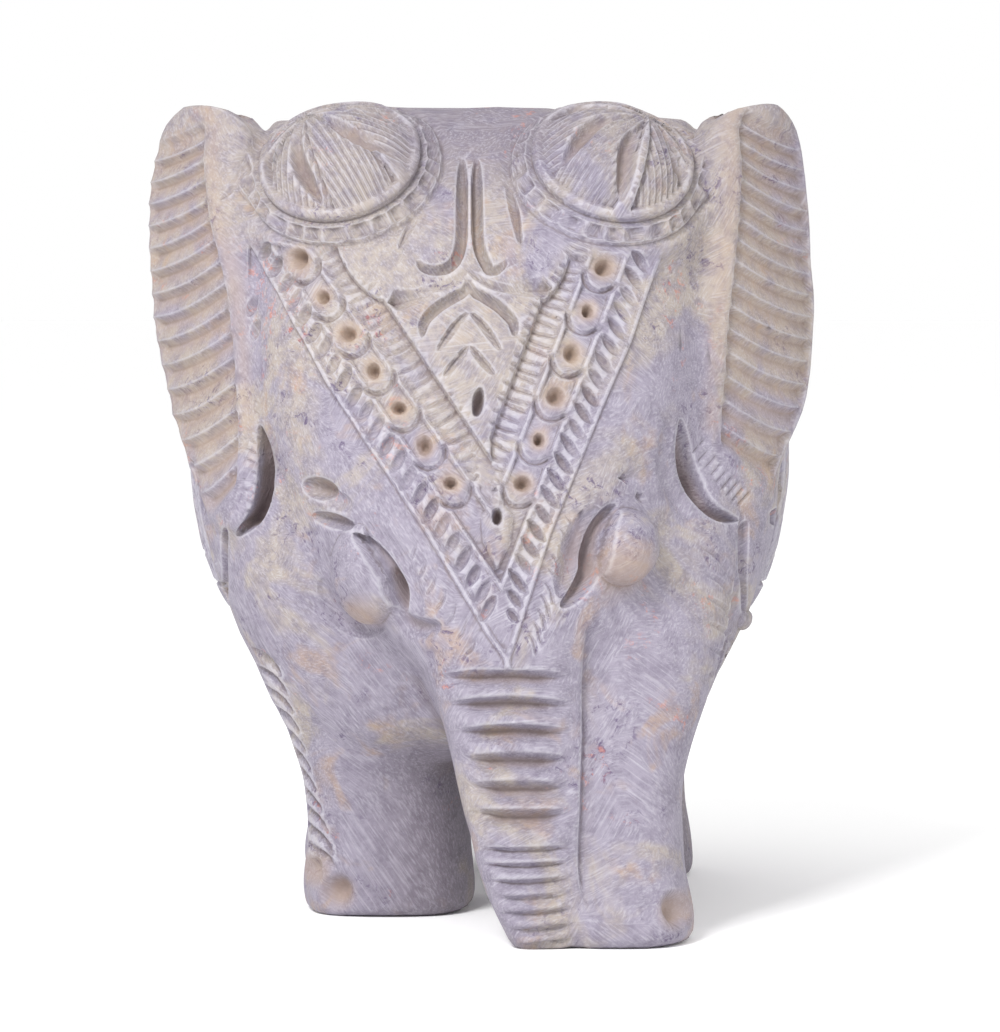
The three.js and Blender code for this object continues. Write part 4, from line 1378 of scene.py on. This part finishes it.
# File marks: how the strokes are turned, in degrees, and the stretch of the patch noise they take.
FILE_MARKS = [
    ((0, 34, -10), -1.0, 0.40),
    ((0, 54, 0), 0.40, 0.50),
    ((0, 96, 20), 0.50, 0.54),
    ((4, -30, 8), 0.54, 0.62),
    ((0, -62, 10), 0.62, 2.0),
]


def file_marks(nodes):
    """Patches of fine straight scratches, each patch filed in its own direction."""
    total = None
    across = nodes.window(nodes.axis(nodes.place, "X"), -20.0, 20.0, -0.11, 0.11)
    patches = nodes.maths("ADD", nodes.noise(nodes.place, 0.085, 1.0, 0.5, 0.3), across)
    for angles, start, stop in FILE_MARKS:
        turned = nodes.turned(nodes.place, angles)
        lines = nodes.noise(nodes.scaled(turned, (5.0, 5.0, 0.1)), 1.0, 2.0, 0.6, 0.0)
        lines = nodes.window(lines, 0.4, 0.78)
        begun = nodes.window(patches, start - 0.008, start + 0.008)
        ended = nodes.window(patches, stop - 0.008, stop + 0.008, 1.0, 0.0)
        marks = nodes.times(lines, nodes.times(begun, ended))
        total = marks if total is None else nodes.maths("ADD", total, marks)
    return total


def body_colour(nodes):
    """Lavender grey clouded with cream and ochre, mottled darker, dusky on the crown, and with painted
    shade low between the legs.
    """
    place = nodes.place
    height = nodes.axis(place, "Z")
    across = nodes.axis(place, "X")

    clouds = nodes.noise(place, 0.075, 4.0, 0.64, 1.1)
    higher = nodes.window(height, 20.0, 76.0, -0.05, 0.13)
    cream_share = nodes.window(nodes.maths("ADD", clouds, higher), 0.46, 0.62, 0.05, 0.95)
    colour = nodes.blend(cream_share, LAVENDER, CREAM)
    ochre = nodes.window(nodes.noise(place, 0.17, 3.0, 0.62, 0.7), 0.55, 0.72, 0.0, 0.6)
    colour = nodes.blend(ochre, colour, OCHRE)
    tone = nodes.window(nodes.noise(place, 0.6, 6.0, 0.75), 0.4, 0.66, 0.0, 0.62)
    colour = nodes.blend(tone, colour, DUSK)

    crown = nodes.window(height, 64.0, 74.0, 0.0, 0.75)
    between_domes = nodes.window(nodes.maths("ABSOLUTE", across, 0.0), 4.0, 12.0, 1.0, 0.25)
    colour = nodes.blend(nodes.times(crown, between_domes), colour, DUSK)

    # Painted shade low down between and behind the forelegs, where the head and trunk shade the stone.
    inner = nodes.window(across, -13.0, -3.0)
    behind = nodes.window(nodes.axis(place, "Y"), -28.0, -21.0)
    low = nodes.window(height, 20.0, 34.0, 0.4, 0.0)
    return nodes.blend(nodes.times(low, nodes.times(inner, behind)), colour, PAINTED_SHADE)


def specks(nodes, colour):
    """The colour with dark and rusty specks, each gathered in patches."""
    place = nodes.place
    patch = nodes.window(nodes.noise(place, 0.11, 2.0, 0.5, 1.2), 0.52, 0.64)
    grains = nodes.window(nodes.noise(place, 1.1, 5.0, 0.74, 0.8), 0.52, 0.64, 0.0, 0.85)
    colour = nodes.blend(nodes.times(patch, grains), colour, PLUM)
    stretched = nodes.scaled(place, (0.14, 0.11, 0.13))
    patch = nodes.window(nodes.noise(stretched, 1.0, 2.0, 0.5, 1.0), 0.6, 0.68)
    grains = nodes.window(nodes.noise(place, 1.1, 4.0, 0.7, 0.4), 0.54, 0.68, 0.0, 0.6)
    return nodes.blend(nodes.times(patch, grains), colour, RUST)


def worked(nodes, colour, marks):
    """The colour with powdery file marks, a painted highlight on the crests, painted shade in the hollows
    and the cuts, and warmer cuts.
    """
    colour = nodes.blend(nodes.times(marks, 0.3), colour, POWDER_AND_HIGHLIGHT)
    # Painted highlight: points that stand above their surroundings are lightened.
    crest = nodes.attribute("crest")
    colour = nodes.blend(nodes.window(crest, 0.35, 1.0, 0.0, 0.34), colour, POWDER_AND_HIGHLIGHT)
    # Painted shade: points that lie below their surroundings are darkened.
    hollow = nodes.times(crest, -1.0)
    colour = nodes.blend(nodes.window(hollow, 0.35, 1.0, 0.0, 0.5), colour, PAINTED_SHADE)
    # Painted shade in the cuts, darkest in the deepest ones.
    carved = nodes.attribute("carved")
    colour = nodes.blend(nodes.window(carved, 0.5, 1.5, 0.0, 0.5), colour, SHADE)
    colour = nodes.blend(nodes.times(nodes.attribute("warm"), 0.65), colour, HONEY)
    return nodes.blend(nodes.window(carved, 1.0, 2.6, 0.0, 0.8), colour, PAINTED_SHADE)


def soapstone():
    """Filed soapstone, its marks and grain just deep enough to catch the light."""
    material = bpy.data.materials.new("soapstone")
    material.use_nodes = True
    tree = material.node_tree
    shader = tree.nodes["Principled BSDF"]
    nodes = Nodes(tree)
    marks = file_marks(nodes)
    nodes.join(worked(nodes, specks(nodes, body_colour(nodes)), marks), shader.inputs["Base Color"])

    grain = nodes.noise(nodes.place, 6.0, 4.0, 0.7)
    bump = tree.nodes.new("ShaderNodeBump")
    bump.inputs["Strength"].default_value = 0.65
    bump.inputs["Distance"].default_value = 0.00016
    nodes.join(nodes.maths("ADD", nodes.times(marks, 0.4), nodes.times(grain, 0.55)), bump.inputs["Height"])
    nodes.join(bump.outputs["Normal"], shader.inputs["Normal"])
    shader.inputs["Roughness"].default_value = 0.62
    shader.inputs["Specular IOR Level"].default_value = 0.35
    return material


# ---------------------------------------------------------------- stage


def stage():
    """A plain pale floor and a pale surround."""
    bpy.ops.mesh.primitive_plane_add(size=30)
    floor = bpy.context.object
    floor.name = "floor"
    paint = bpy.data.materials.new("floor_paint")
    paint.use_nodes = True
    shader = paint.node_tree.nodes["Principled BSDF"]
    shader.inputs["Base Color"].default_value = (1, 1, 1, 1)
    shader.inputs["Roughness"].default_value = 0.9
    floor.data.materials.append(paint)
    world = bpy.data.worlds.new("surround")
    bpy.context.scene.world = world
    world.use_nodes = True
    background = world.node_tree.nodes["Background"]
    background.inputs["Color"].default_value = (1, 1, 1, 1)
    background.inputs["Strength"].default_value = 1.0


def lamp(name, place, target, size, power):
    """A soft square light aimed at a point."""
    data = bpy.data.lights.new(name, "AREA")
    data.size = size
    data.energy = power
    light = bpy.data.objects.new(name, data)
    light.location = place
    light.rotation_euler = (Vector(target) - Vector(place)).to_track_quat("-Z", "Y").to_euler()
    bpy.context.scene.collection.objects.link(light)


def lights():
    """Soft studio light from above and in front."""
    middle = (0, -0.02, 0.045)
    lamp("key", (-0.2, -0.43, 0.42), middle, 0.18, 3.3)
    lamp("fill", (0.3, -0.4, 0.25), middle, 0.3, 0.4)


def camera():
    """A long lens, level with the forehead and tipped slightly down."""
    tip, turn = 2.49, -0.116  # degrees
    data = bpy.data.cameras.new("camera")
    data.sensor_fit = "HORIZONTAL"
    data.sensor_width = 36
    data.lens = 177.4
    data.clip_start = 0.05
    data.clip_end = 20
    view = bpy.data.objects.new("camera", data)
    view.location = (0.00091, -0.48188, 0.058)
    view.rotation_euler = (math.radians(90 - tip), 0, math.radians(turn))
    bpy.context.scene.collection.objects.link(view)
    bpy.context.scene.camera = view


stone = elephant()
stone.data.materials.clear()
stone.data.materials.append(soapstone())
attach(stone, "root")
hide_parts("elephant")
stage()
lights()
camera()
bpy.context.scene.view_settings.view_transform = "Standard"
